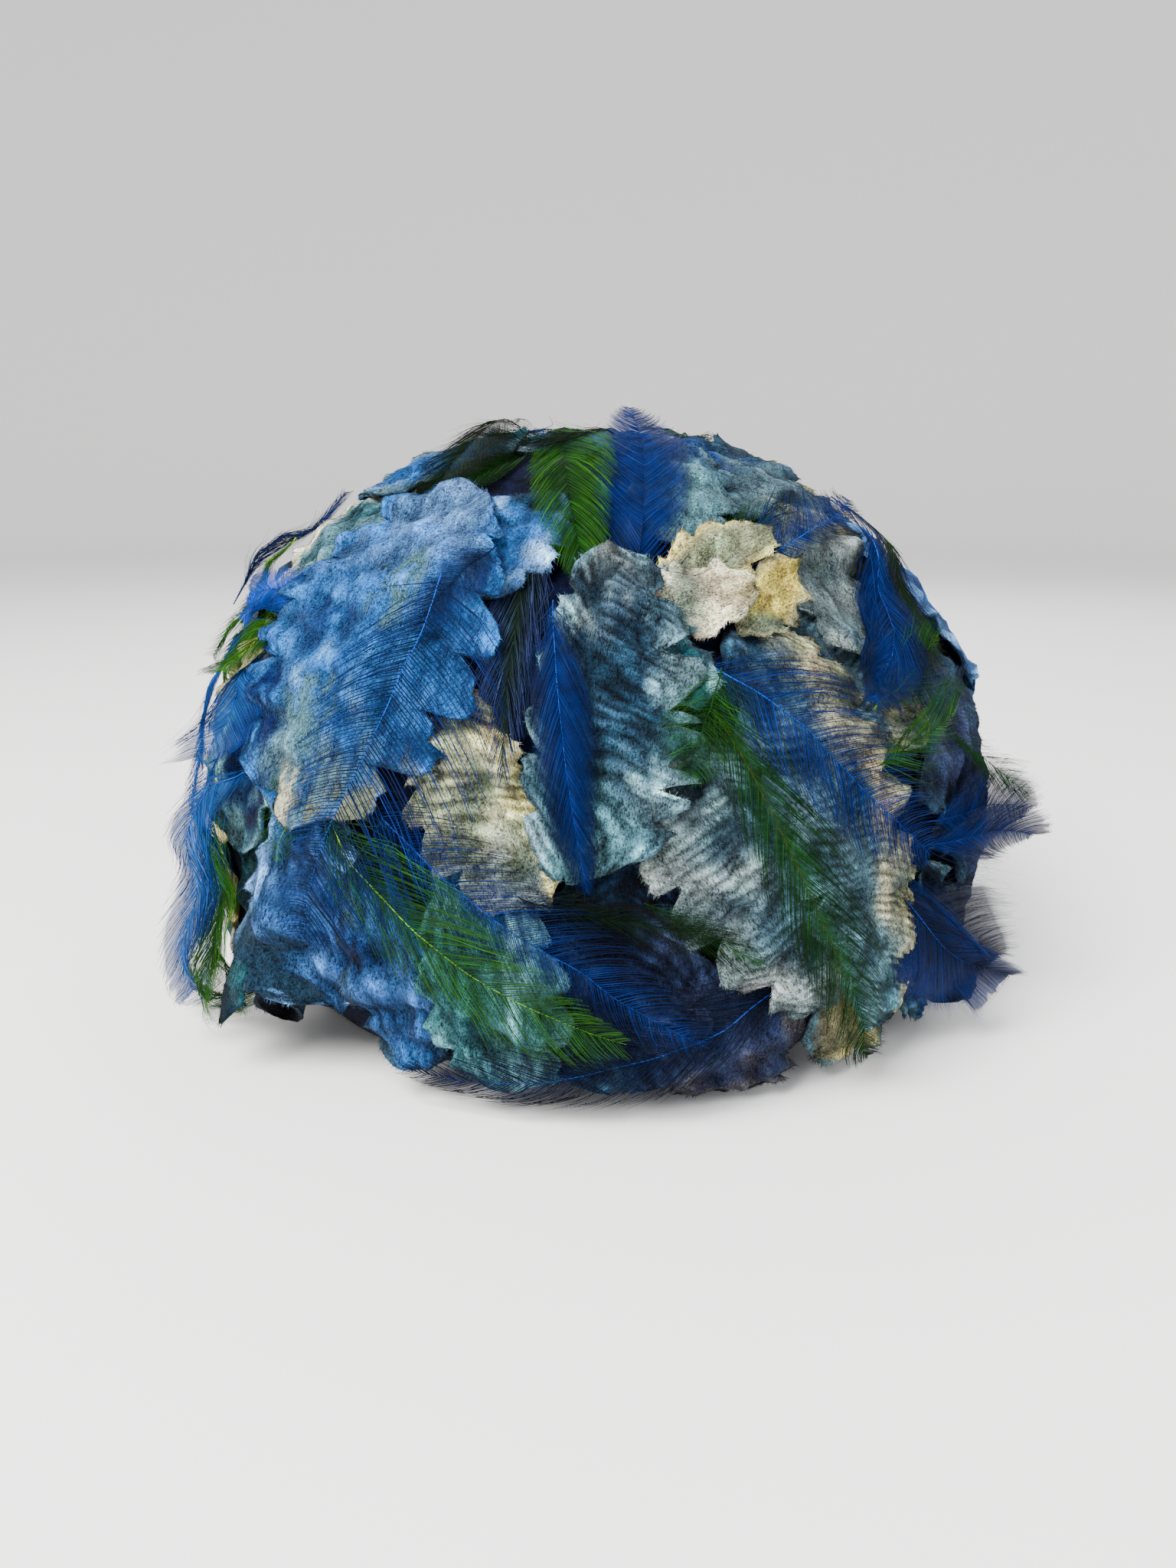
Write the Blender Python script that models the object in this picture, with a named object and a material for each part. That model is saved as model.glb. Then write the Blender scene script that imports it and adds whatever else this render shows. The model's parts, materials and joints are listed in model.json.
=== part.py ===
"""Velvet leaf and feather hat, a hollow dome that rests on its rim.

A foundation cap carries velvet leaves and dyed feathers, laid over each other like shingles.
The wearer's back faces -Y. Every leaf and feather is laid out in millimetres on the dome: along
its midrib and across it. Its height over the cap comes from what already lies below it.
"""

import bpy
import numpy as np

MM = 0.001

# Dome, in metres. The centre is the middle of its widest line.
CENTRE_HEIGHT = 0.058
HALF_WIDTH = 0.115
HALF_DEPTH = 0.120
CROWN_RISE = 0.1035
TUCK_DEPTH = 0.0985
DRAPE_DEPTH = 0.150
MAP_RADIUS = 0.122

# Walls and clearances, in metres.
CAP_WALL = 0.0020
LEAF_WALL = 0.0010
FEATHER_WALL = 0.0006
GAP_OVER_CAP = 0.0006
GAP_OVER_PIECE = 0.0005
HEM_START = 0.012
HEM_LOW = 0.0012

# Faceting.
CAP_SIDES = 32
CAP_RINGS = 8
LEAF_COLUMNS = (-1.0, -0.5, 0.0, 0.5, 1.0)
FEATHER_COLUMNS = (-1.0, 0.0, 1.0)
FEATHER_ROWS = 12
TUBE_SIDES = 16
TUBE_ROWS = 5

# How sheets are laid on each other.
SAMPLE_STEPS = 8
EDGE_MARGIN = 0.002
NEAR_MARGIN = 0.010
SETTLE_ROUNDS = 60
EVENING_ROUNDS = 3
SETTLED = 0.000002

# Leaf and feather relief, in metres. The powers say how late a tip lifts.
CROWN = 0.0010
CREASE = 0.0005
RIB = 0.0002
RUFFLE = 0.0004
RACHIS = 0.0004
LEAF_LIFT_POWER = 3
FEATHER_LIFT_POWER = 2

# Outlines, as shares of a leaf's or feather's own width and length.
LEAF_END = 0.20
LEAF_FULLNESS = 0.60
LOBE_DEPTH = 0.09
LOBE_LEAN = 0.020
LOBE_EDGE_POWER = 3
QUILL_END = 0.14
VANE_EARLY = 0.80
VANE_FULLNESS = 0.60
STRIP_DEPTH = 0.10
STRIP_LEAN = 0.022
BARB_LEAN = 0.05

# A rolled leaf end: how wide its tucked end is, how far its open end slants in millimetres, and
# where and how far round the section is pinched.
TUCKED_END = 0.55
MOUTH_SLANT = 4.5
PINCH_AT = np.radians(110)
PINCH_SPREAD = np.radians(26)

# Finishes: roughness, and linear base colours.
VELVET_ROUGHNESS = 0.9
FEATHER_ROUGHNESS = 0.6
COLOURS = {
    "cap": (0.010, 0.020, 0.055),
    "cornflower": (0.160, 0.290, 0.560),
    "slate": (0.080, 0.150, 0.210),
    "cream": (0.620, 0.600, 0.450),
    "teal": (0.070, 0.190, 0.200),
    "grey_blue": (0.240, 0.300, 0.380),
    "midnight": (0.020, 0.040, 0.110),
    "sand": (0.400, 0.340, 0.230),
    "royal": (0.020, 0.060, 0.280),
    "navy": (0.010, 0.020, 0.110),
    "sky": (0.070, 0.160, 0.480),
    "green": (0.040, 0.150, 0.020),
    "olive": (0.030, 0.045, 0.015),
}

# A leaf a row, from the lowest layer to the top one. Azimuth 0 faces -Y and grows towards +X.
# Heading 0 runs up the dome and 90 towards growing azimuth. Left and right are the half widths
# beside the midrib, seen from outside along the heading. Belly is where along the leaf it is widest.
# Lengths are in millimetres.
LEAF_FIELDS = "name layer azimuth elevation heading length left right belly lobes lift colour"
LEAVES = (
    ("leaf_front_low_1", 1, 98, -2, 176, 112, 48, 48, 0.50, 4, 4, "slate"),
    ("leaf_front_low_2", 2, 134, -1, 184, 114, 48, 46, 0.50, 4, 4, "cornflower"),
    ("leaf_front_low_3", 3, 170, -2, 174, 112, 48, 48, 0.50, 4, 4, "grey_blue"),
    ("leaf_front_low_4", 4, -154, -1, 182, 114, 47, 48, 0.50, 4, 4, "teal"),
    ("leaf_front_low_5", 5, -118, -2, 178, 112, 48, 48, 0.50, 4, 4, "cornflower"),
    ("leaf_side_low_left", 6, -80, -3, 183, 104, 46, 40, 0.50, 4, 4, "slate"),
    ("leaf_side_low_right", 6, 76, -5, 174, 98, 32, 34, 0.50, 4, 4, "grey_blue"),
    ("leaf_rim_sand", 7, 16, -18, 172, 42, 21, 20, 0.50, 4, 3, "sand"),
    ("leaf_rim_cream", 8, 33, -17, 160, 44, 15, 14, 0.50, 3, 3, "cream"),
    ("leaf_rim_slate", 9, 52, -15, 152, 58, 16, 17, 0.50, 4, 4, "slate"),
    ("leaf_rim_midnight", 10, 3, -9, 181, 60, 21, 20, 0.50, 5, 3, "midnight"),
    ("leaf_left_pale", 11, -46, -4, 176, 54, 14, 16, 0.50, 4, 3, "teal"),
    ("leaf_left_ribbed", 12, -34, -3, 172, 56, 17, 20, 0.50, 4, 3, "cornflower"),
    ("leaf_rim_blue", 13, -23, -9, 174, 58, 13, 14, 0.55, 4, 3, "cornflower"),
    ("leaf_rim_green", 14, -12, -9, 173, 64, 18, 15, 0.55, 5, 3, "teal"),
    ("leaf_right_purple", 16, 56, 11, 162, 82, 26, 24, 0.50, 5, 4, "grey_blue"),
    ("leaf_left_cream", 18, -60, 15, 172, 58, 17, 17, 0.50, 4, 4, "cream"),
    ("leaf_left_slate", 19, -47, 13, 186, 56, 16, 20, 0.55, 4, 4, "slate"),
    ("leaf_back_cream", 21, -13, 14, 148, 66, 10, 20, 0.60, 5, 4, "cream"),
    ("leaf_right_low", 25, 19.5, 3, 150, 80, 12, 25, 0.40, 5, 5, "slate"),
    ("leaf_right_long", 26, 30, 5, 160, 112, 21, 19, 0.40, 7, 5, "cream"),
    ("leaf_crown", 29, 175, 84, 180, 108, 48, 48, 0.50, 4, 1, "slate"),
    ("leaf_front_top_1", 30, 83, 42, 176, 112, 42, 36, 0.50, 4, 5, "cornflower"),
    ("leaf_front_top_2", 31, 126, 41, 183, 112, 42, 42, 0.50, 4, 5, "slate"),
    ("leaf_front_top_3", 32, 172, 42, 176, 110, 44, 44, 0.50, 4, 5, "cream"),
    ("leaf_front_top_4", 33, -141, 41, 181, 112, 44, 42, 0.50, 4, 5, "teal"),
    ("leaf_front_top_5", 33.5, -96, 42, 178, 110, 44, 40, 0.50, 4, 5, "grey_blue"),
    ("leaf_top_left_cream", 34, -57, 43, 190, 50, 22, 20, 0.50, 4, 4, "cream"),
    ("leaf_top_left_blue", 35, -60, 63, 200, 52, 20, 18, 0.50, 4, 3, "cornflower"),
    ("leaf_top_grey", 36, -15, 44, 196, 44, 16, 17, 0.50, 4, 3, "grey_blue"),
    ("leaf_top_smooth", 37, 44, 55, 174, 66, 26, 26, 0.50, 4, 4, "slate"),
    ("leaf_top_teal", 38, 21, 54, 200, 58, 13, 15, 0.50, 4, 3, "teal"),
    ("leaf_right_grey", 39, 38, 36, 180, 48, 15, 15, 0.50, 4, 4, "grey_blue"),
    ("leaf_right_yellow", 43, 25, 33, 50, 26, 9, 8, 0.50, 3, 3, "sand"),
    ("leaf_right_cream", 44.5, 18, 39, 66, 36, 9, 8, 0.55, 4, 3, "cream"),
    ("leaf_right_white", 45, 14, 33, 258, 30, 9, 11, 0.55, 3, 4, "cream"),
    ("leaf_back_centre", 47, -1, 22, 6, 78, 11, 25, 0.36, 6, 4, "slate"),
    ("leaf_left_cornflower", 51, -32, 29, 190, 94, 36, 38, 0.55, 6, 6, "cornflower"),
)

# A feather a row, in the same columns. Bend is the sideways bow of the rachis in millimetres.
# Lift raises the tip, tilt the right edge, or the left one where it is negative.
FEATHER_FIELDS = "name layer azimuth elevation heading length left right bend lift tilt colour"
FEATHERS = (
    ("feather_rim_blue", 15, 2, -17, -106, 100, 12, 13, -4, 4, 0, "royal"),
    ("feather_right_navy", 22, 54, -12, 122, 64, 17, 19, 3, 12, -8, "navy"),
    ("feather_right_tip", 23, 60, 2, 100, 66, 12, 14, -3, 14, -6, "royal"),
    ("feather_left_blue", 24, -56, -6, -164, 78, 9, 17, 4, 10, 12, "sky"),
    ("feather_left_green", 24.5, -52, -9, -163, 74, 12, 14, -4, 9, 6, "green"),
    ("feather_centre_olive", 27, -10, 30, 179, 74, 8, 9, 1, 2, 0, "olive"),
    ("feather_green_long", 28, 24, -2, 154, 118, 11, 10, 3, 4, 0, "green"),
    ("feather_blue_long", 29, 28, 13, 131, 82, 20, 14, 2, 4, 0, "royal"),
    ("feather_left_side", 29.5, -72, 14, -172, 60, 14, 12, 2, 5, 4, "sky"),
    ("feather_left_top", 40, -72, 30, -160, 46, 13, 13, 0, 5, 4, "green"),
    ("feather_top_left_navy", 41, -76, 39, -8, 48, 11, 11, 2, 5, -2, "navy"),
    ("feather_right_dark", 42, 50, 33, -158, 72, 18, 15, -5, 6, 0, "navy"),
    ("feather_top_blue", 42.5, 12, 60, 11, 104, 13, 13, 2, 8, 0, "royal"),
    ("feather_arc_navy", 42.7, 37, 42, 70, 52, 16, 5, 4, 3, 0, "navy"),
    ("feather_top_green", 46, -6, 57, 170, 94, 13, 11, 2, 3, 0, "green"),
    ("feather_top_left_green", 46.5, -44, 64, 160, 64, 14, 12, 2, 4, 0, "green"),
    ("feather_centre_blue", 48, -3, 17, 172, 68, 7, 7, 1, 2, 0, "royal"),
    ("feather_low_blue", 49, -7.5, -2.5, 124, 96, 13, 11, 0, 4, 0, "royal"),
    ("feather_low_green", 50, -15, -3.5, 122, 86, 12, 13, 5, 4, 0, "green"),
    ("feather_wide_blue", 52, -26, 13.5, -163, 92, 31, 18, -5, 3, 0, "sky"),
)

# A rolled leaf end a row. Width and height are the outer section's, in millimetres.
ROLL_FIELDS = "name layer azimuth elevation heading length width height pinch flare colour"
ROLLS = (
    ("rolled_leaf_left", 7.5, -42, -12.5, 184, 27, 16, 8, 0.60, 9, "teal"),
)


def rows(fields, table):
    """The rows of a table as dictionaries of its column names."""
    names = fields.split()
    return [dict(zip(names, row)) for row in table]


def cap_radius(direction):
    """Distance from the dome's centre to the cap's outer face along unit directions."""
    drop = np.where(direction[..., 2] >= 0, CROWN_RISE, TUCK_DEPTH)
    scaled = direction / np.stack([np.full_like(drop, HALF_WIDTH), np.full_like(drop, HALF_DEPTH), drop], -1)
    return 1 / np.linalg.norm(scaled, axis=-1)


def drape_height(direction):
    """How far the leaves stand off the cap: they hang straighter below the widest line."""
    fall = np.where(direction[..., 2] >= 0, CROWN_RISE, DRAPE_DEPTH)
    scaled = direction / np.stack([np.full_like(fall, HALF_WIDTH), np.full_like(fall, HALF_DEPTH), fall], -1)
    return 1 / np.linalg.norm(scaled, axis=-1) - cap_radius(direction)


def unit_direction(azimuth, elevation):
    """The unit direction of an azimuth and an elevation, both in degrees."""
    az = np.radians(azimuth)
    el = np.radians(elevation)
    return np.array([np.sin(az) * np.cos(el), -np.cos(az) * np.cos(el), np.sin(el)])


def lay_on_dome(row, along, across):
    """Unit directions of points along and across a piece, in millimetres from its middle.

    The plane of the piece is rolled onto the dome: distance from the middle becomes an angle.
    """
    middle = unit_direction(row["azimuth"], row["elevation"])
    east = np.array([-middle[1], middle[0], 0.0])
    east /= np.linalg.norm(east)
    north = np.cross(middle, east)
    heading = np.radians(row["heading"])
    ahead = north * np.cos(heading) + east * np.sin(heading)
    side = east * np.cos(heading) - north * np.sin(heading)
    flat = (along[..., None] * ahead + across[..., None] * side) * MM / MAP_RADIUS
    angle = np.linalg.norm(flat, axis=-1, keepdims=True) + 1e-12
    return middle * np.cos(angle) + flat / angle * np.sin(angle)


def leaf_grid(row):
    """Places of a leaf's grid on its plane, and its shares along and across.

    Rows alternate between lobe tips and notches, and lobe tips lean towards the leaf's tip.
    """
    steps = 2 * row["lobes"]
    share = np.linspace(0, 1, steps + 1)[:, None]
    column = np.array(LEAF_COLUMNS)[None, :]
    lobe = np.where(np.arange(steps + 1) % 2 == 1, 1.0, -1.0)[:, None]
    early = np.log(0.5) / np.log(row["belly"])
    swell = LEAF_END + (1 - LEAF_END) * np.sin(np.pi * share ** early) ** LEAF_FULLNESS
    half = np.where(column < 0, row["left"], row["right"])
    edge = np.abs(column) ** LOBE_EDGE_POWER
    across = column * half * swell * (1 + LOBE_DEPTH * lobe * edge)
    along = (share - 0.5 + LOBE_LEAN * lobe * edge) * row["length"]
    return along, across, share + 0 * column, column + 0 * share, lobe + 0 * column


def feather_grid(row):
    """Places of a feather's grid on its plane: a narrow quill, a full vane, a slim tip.

    Rows alternate in and out, so the edges are cut into strips that lean towards the tip.
    """
    share = np.linspace(0, 1, FEATHER_ROWS + 1)[:, None]
    column = np.array(FEATHER_COLUMNS)[None, :]
    strip = np.where(np.arange(FEATHER_ROWS + 1) % 2 == 1, 1.0, -1.0)[:, None]
    vane = QUILL_END + (1 - QUILL_END) * np.sin(np.pi * share ** VANE_EARLY) ** VANE_FULLNESS
    half = np.where(column < 0, row["left"], row["right"])
    edge = np.abs(column)
    across = column * half * vane * (1 + STRIP_DEPTH * strip * edge)
    across = across + row["bend"] * (4 * share * (1 - share) - 0.5)
    along = (share - 0.5 + STRIP_LEAN * strip * edge + BARB_LEAN * edge * share) * row["length"]
    return along, across, share + 0 * column, column + 0 * share


def smooth(height):
    """One averaging of a grid with its four neighbours, the edges repeated."""
    padded = np.pad(height, 1, mode="edge")
    around = padded[:-2, 1:-1] + padded[2:, 1:-1] + padded[1:-1, :-2] + padded[1:-1, 2:]
    return (height + around) / 5


def grid_triangles(count_i, count_j):
    """Corner indices of a grid's triangles, two for each cell."""
    index = np.arange(count_i * count_j).reshape(count_i, count_j)
    quads = np.stack([index[:-1, :-1], index[1:, :-1], index[1:, 1:], index[:-1, 1:]], -1).reshape(-1, 4)
    return np.concatenate([quads[:, [0, 1, 2]], quads[:, [0, 2, 3]]])


def triangle_shares(steps):
    """Weights of evenly spread points in a triangle, its corners and edges included."""
    first, second = np.meshgrid(np.arange(steps + 1), np.arange(steps + 1), indexing="ij")
    inside = first + second <= steps
    pair = np.stack([first[inside], second[inside]], -1) / steps
    return np.column_stack([pair, 1 - pair.sum(axis=1)])


class Stack:
    """What already lies on the cap, as sample points: their directions and reaches."""

    def __init__(self):
        self.directions = np.zeros((0, 3))
        self.reaches = np.zeros(0)

    def add(self, directions, heights):
        """Remember a grid's upper face, sampled on its triangles."""
        points = directions * (cap_radius(directions) + heights)[..., None]
        corners = points.reshape(-1, 3)[grid_triangles(*heights.shape)]
        samples = np.einsum("sk,tkx->tsx", triangle_shares(SAMPLE_STEPS), corners).reshape(-1, 3)
        reach = np.linalg.norm(samples, axis=1)
        self.directions = np.vstack([self.directions, samples / reach[:, None]])
        self.reaches = np.concatenate([self.reaches, reach])

    def contacts(self, directions):
        """Samples under a new grid: the triangle over each, the ray's weights in it, and the reach."""
        corners = directions.reshape(-1, 3)[grid_triangles(*directions.shape[:2])]
        middle = corners.reshape(-1, 3).mean(axis=0)
        middle /= np.linalg.norm(middle)
        spread = (corners @ middle).min() - NEAR_MARGIN
        near = self.directions @ middle > spread
        weights = np.einsum("tij,sj->tsi", np.linalg.inv(corners.transpose(0, 2, 1)), self.directions[near])
        triangle, sample = np.nonzero(np.all(weights >= -EDGE_MARGIN, axis=-1))
        return triangle, np.maximum(weights[triangle, sample], 0), self.reaches[near][sample]


def settle(stack, directions, relief):
    """Inner heights of a sheet laid on the stack.

    Where a triangle of the sheet would cut a sample below it, its corners rise by their share of
    the cut, until none is left. The rise is then evened out, upwards only.
    """
    shape = directions.shape[:2]
    base = cap_radius(directions) + drape_height(directions) + GAP_OVER_CAP + relief
    rise = np.zeros(shape)
    if len(stack.reaches) == 0:
        return base - cap_radius(directions)
    triangle, weights, reach = stack.contacts(directions)
    corners = grid_triangles(*shape)[triangle]
    for step in range(SETTLE_ROUNDS):
        share = weights / (base + rise).ravel()[corners]
        height = 1 / share.sum(axis=1)
        share *= height[:, None]
        short = np.maximum(reach + GAP_OVER_PIECE - height, 0)
        if short.max(initial=0) < SETTLED:
            break
        push = short[:, None] * share / (share ** 2).sum(axis=1, keepdims=True)
        lifted = np.zeros(rise.size)
        np.maximum.at(lifted, corners.ravel(), push.ravel())
        rise = rise + lifted.reshape(shape)
        if step < EVENING_ROUNDS:
            rise = np.maximum(rise, smooth(rise))
    return base + rise - cap_radius(directions)


def place(directions, heights):
    """Points at heights over the cap, with low ends turned up so that they clear the floor."""
    points = directions * (cap_radius(directions) + heights)[..., None]
    points[..., 2] += CENTRE_HEIGHT
    low = np.minimum(points[..., 2] - HEM_START, 0)
    span = HEM_START - HEM_LOW
    points[..., 2] = np.maximum(points[..., 2], HEM_START) + span * (np.exp(low / span) - 1)
    return points


def sheet_mesh(name, inner, outer):
    """A closed mesh of two facing grids, with a wall round their shared edge."""
    count_i, count_j = inner.shape[:2]
    index = np.arange(count_i * count_j).reshape(count_i, count_j)
    shift = count_i * count_j
    bottom = grid_triangles(count_i, count_j)
    top = bottom + shift
    ring = np.concatenate([index[0, :-1], index[:-1, -1], index[-1, :0:-1], index[:0:-1, 0]])
    after = np.roll(ring, -1)
    wall = np.concatenate([
        np.stack([ring, ring + shift, after + shift], -1),
        np.stack([ring, after + shift, after], -1),
    ])
    points = np.concatenate([inner.reshape(-1, 3), outer.reshape(-1, 3)])
    return closed_mesh(name, points, np.concatenate([top, bottom[:, ::-1], wall]))


def closed_mesh(name, points, triangles):
    """A mesh from points and triangles, turned so that its faces point out."""
    corner = points[triangles]
    volume = np.einsum("ij,ij->i", corner[:, 0], np.cross(corner[:, 1], corner[:, 2])).sum()
    if volume < 0:
        triangles = triangles[:, ::-1]
    mesh = bpy.data.meshes.new(name)
    mesh.from_pydata(points.tolist(), [], triangles.tolist())
    mesh.validate()
    mesh.update()
    return mesh


def finish_of(name, colour, roughness):
    """The plain material of one piece."""
    material = bpy.data.materials.new(name + "_finish")
    material.use_nodes = True
    shader = material.node_tree.nodes["Principled BSDF"]
    shader.inputs["Base Color"].default_value = (*COLOURS[colour], 1.0)
    shader.inputs["Roughness"].default_value = roughness
    shader.inputs["Metallic"].default_value = 0.0
    material.diffuse_color = (*COLOURS[colour], 1.0)
    return material


def add_piece(name, mesh, colour, roughness, hat):
    """Put a mesh into the scene as one sub-part of the hat."""
    piece = bpy.data.objects.new(name, mesh)
    mesh.materials.append(finish_of(name, colour, roughness))
    bpy.context.collection.objects.link(piece)
    piece.parent = hat
    return piece


def make_cap(hat):
    """The foundation: a domed shell with a flat rim and the head's hollow inside it."""
    low = -np.arcsin(CENTRE_HEIGHT / rim_reach())
    elevation = np.linspace(low, np.pi / 2, CAP_RINGS + 1)[:-1, None]
    azimuth = np.linspace(0, 2 * np.pi, CAP_SIDES + 1)[None, :-1]
    flat = [np.cos(elevation) * np.sin(azimuth), -np.cos(elevation) * np.cos(azimuth), np.sin(elevation)]
    direction = np.stack([part + 0 * azimuth for part in flat], -1)
    grids = []
    poles = []
    for wall in (0.0, CAP_WALL):
        points = direction * (cap_radius(direction) - wall)[..., None]
        points[..., 2] += CENTRE_HEIGHT
        points[0, :, 2] = 0.0
        grids.append(points)
        poles.append((0.0, 0.0, CENTRE_HEIGHT + CROWN_RISE - wall))
    mesh = shell_mesh("foundation_cap", *grids, poles)
    return add_piece("foundation_cap", mesh, "cap", VELVET_ROUGHNESS, hat)


def rim_reach():
    """Distance from the dome's centre to the cap's outer face where it meets the floor at the side."""
    return np.hypot(CENTRE_HEIGHT, HALF_WIDTH * np.sqrt(1 - (CENTRE_HEIGHT / TUCK_DEPTH) ** 2))


def ring_band(index):
    """Triangles between the rings of a grid of point numbers, each ring closed on itself."""
    after = np.roll(index, -1, axis=1)
    first = np.stack([index[:-1], after[:-1], after[1:]], -1)
    second = np.stack([index[:-1], after[1:], index[1:]], -1)
    return np.concatenate([first.reshape(-1, 3), second.reshape(-1, 3)])


def ring_fan(ring, pole):
    """Triangles from a ring of point numbers to a pole."""
    return np.stack([ring, np.roll(ring, -1), np.full(len(ring), pole)], -1)


def shell_mesh(name, outer, inner, poles):
    """A hollow shell of two grids of rings, open at the first ring and closed by poles at the last."""
    count_outer = outer.shape[0] * outer.shape[1]
    count_inner = inner.shape[0] * inner.shape[1]
    out = np.arange(count_outer).reshape(outer.shape[:2])
    into = np.arange(count_inner).reshape(inner.shape[:2]) + count_outer
    first_pole = count_outer + count_inner
    triangles = np.concatenate([
        ring_band(out),
        ring_fan(out[-1], first_pole),
        ring_band(into)[:, ::-1],
        ring_fan(into[-1], first_pole + 1)[:, ::-1],
        ring_band(np.stack([into[0], out[0]])),
    ])
    return closed_mesh(name, np.concatenate([outer.reshape(-1, 3), inner.reshape(-1, 3), poles]), triangles)


def make_leaf(row, stack, hat):
    """A velvet leaf: lobed edges, a creased midrib, puffed halves, side ribs and a lifted tip."""
    along, across, share, column, lobe = leaf_grid(row)
    directions = lay_on_dome(row, along, across)
    puff = CROWN * np.sin(np.pi * share) * (1 - column ** 2)
    crease = CREASE * np.minimum(np.abs(column) * 2, 1)
    ribs = RIB * (1 + lobe) * (np.abs(column) == 0.5)
    ruffle = RUFFLE * (1 + lobe) * (np.abs(column) == 1)
    relief = puff + crease + ribs + ruffle + row["lift"] * MM * share ** LEAF_LIFT_POWER
    inner = settle(stack, directions, relief)
    outer = inner + LEAF_WALL
    stack.add(directions, outer)
    mesh = sheet_mesh(row["name"], place(directions, inner), place(directions, outer))
    return add_piece(row["name"], mesh, row["colour"], VELVET_ROUGHNESS, hat)


def make_feather(row, stack, hat):
    """A feather: a thin vane with strip-cut edges and a raised rachis along its middle."""
    along, across, share, column = feather_grid(row)
    directions = lay_on_dome(row, along, across)
    ridge = RACHIS * (np.abs(column) < 0.5)
    raised = abs(row["tilt"]) * (0.5 + 0.5 * np.sign(row["tilt"]) * column) * share
    inner = settle(stack, directions, (row["lift"] * share ** FEATHER_LIFT_POWER + raised) * MM)
    outer = inner + FEATHER_WALL + ridge
    stack.add(directions, outer)
    mesh = sheet_mesh(row["name"], place(directions, inner), place(directions, outer))
    return add_piece(row["name"], mesh, row["colour"], FEATHER_ROUGHNESS, hat)


def make_roll(row, stack, hat):
    """A leaf end rolled into a tube: a pinched oval section, tucked in above and open below."""
    share = np.linspace(1, 0, TUBE_ROWS)[:, None]
    angle = np.linspace(0, 2 * np.pi, TUBE_SIDES, endpoint=False)[None, :]
    waist = 1 - row["pinch"] * np.exp(-((angle - PINCH_AT) / PINCH_SPREAD) ** 2)
    grow = TUCKED_END + (1 - TUCKED_END) * np.sin(np.pi / 2 * share)
    along = (share - 0.5) * row["length"] - MOUTH_SLANT * share * np.sin(angle)
    grids = []
    for wall in (0.0, LEAF_WALL / MM):
        across = (row["width"] / 2 * grow - wall) * np.cos(angle)
        rise = (row["height"] / 2 * grow - wall) * np.sin(angle) * waist
        grids.append((lay_on_dome(row, along, across), rise * MM))
    seat = settle(stack, grids[0][0], 0.0).max(axis=1, keepdims=True)
    axis = seat + (row["height"] / 2 * grow + row["flare"] * share ** LEAF_LIFT_POWER) * MM
    highest = (axis + grids[0][1]).max(axis=1, keepdims=True)
    stack.add(grids[0][0], np.repeat(highest, TUBE_SIDES, axis=1))
    outer, inner = [place(directions, axis + rise) for directions, rise in grids]
    poles = [outer[-1].mean(axis=0), inner[-2].mean(axis=0)]
    mesh = shell_mesh(row["name"], outer, inner[:-1], poles)
    return add_piece(row["name"], mesh, row["colour"], VELVET_ROUGHNESS, hat)


def make_hat():
    """The whole hat, each piece laid on what lies below it."""
    hat = bpy.data.objects.new("hat", None)
    bpy.context.collection.objects.link(hat)
    make_cap(hat)
    makers = [(row, make_leaf) for row in rows(LEAF_FIELDS, LEAVES)]
    makers += [(row, make_feather) for row in rows(FEATHER_FIELDS, FEATHERS)]
    makers += [(row, make_roll) for row in rows(ROLL_FIELDS, ROLLS)]
    stack = Stack()
    for row, maker in sorted(makers, key=lambda pair: pair[0]["layer"]):
        maker(row, stack, hat)


for old in list(bpy.data.objects):
    bpy.data.objects.remove(old, do_unlink=True)
make_hat()
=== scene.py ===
"""Velvet leaf and feather hat: the pile, barbs and finishes, laid over the solids of the frame.

Every leaf and feather is a surface of two parameters. Share runs along it from 0 to 1, and column
across it from -1 to 1. Its plane is rolled onto the dome, and its height over the cap is read from
its solid where it has one. Millimetres are used on the plane, metres in space.
"""

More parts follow.
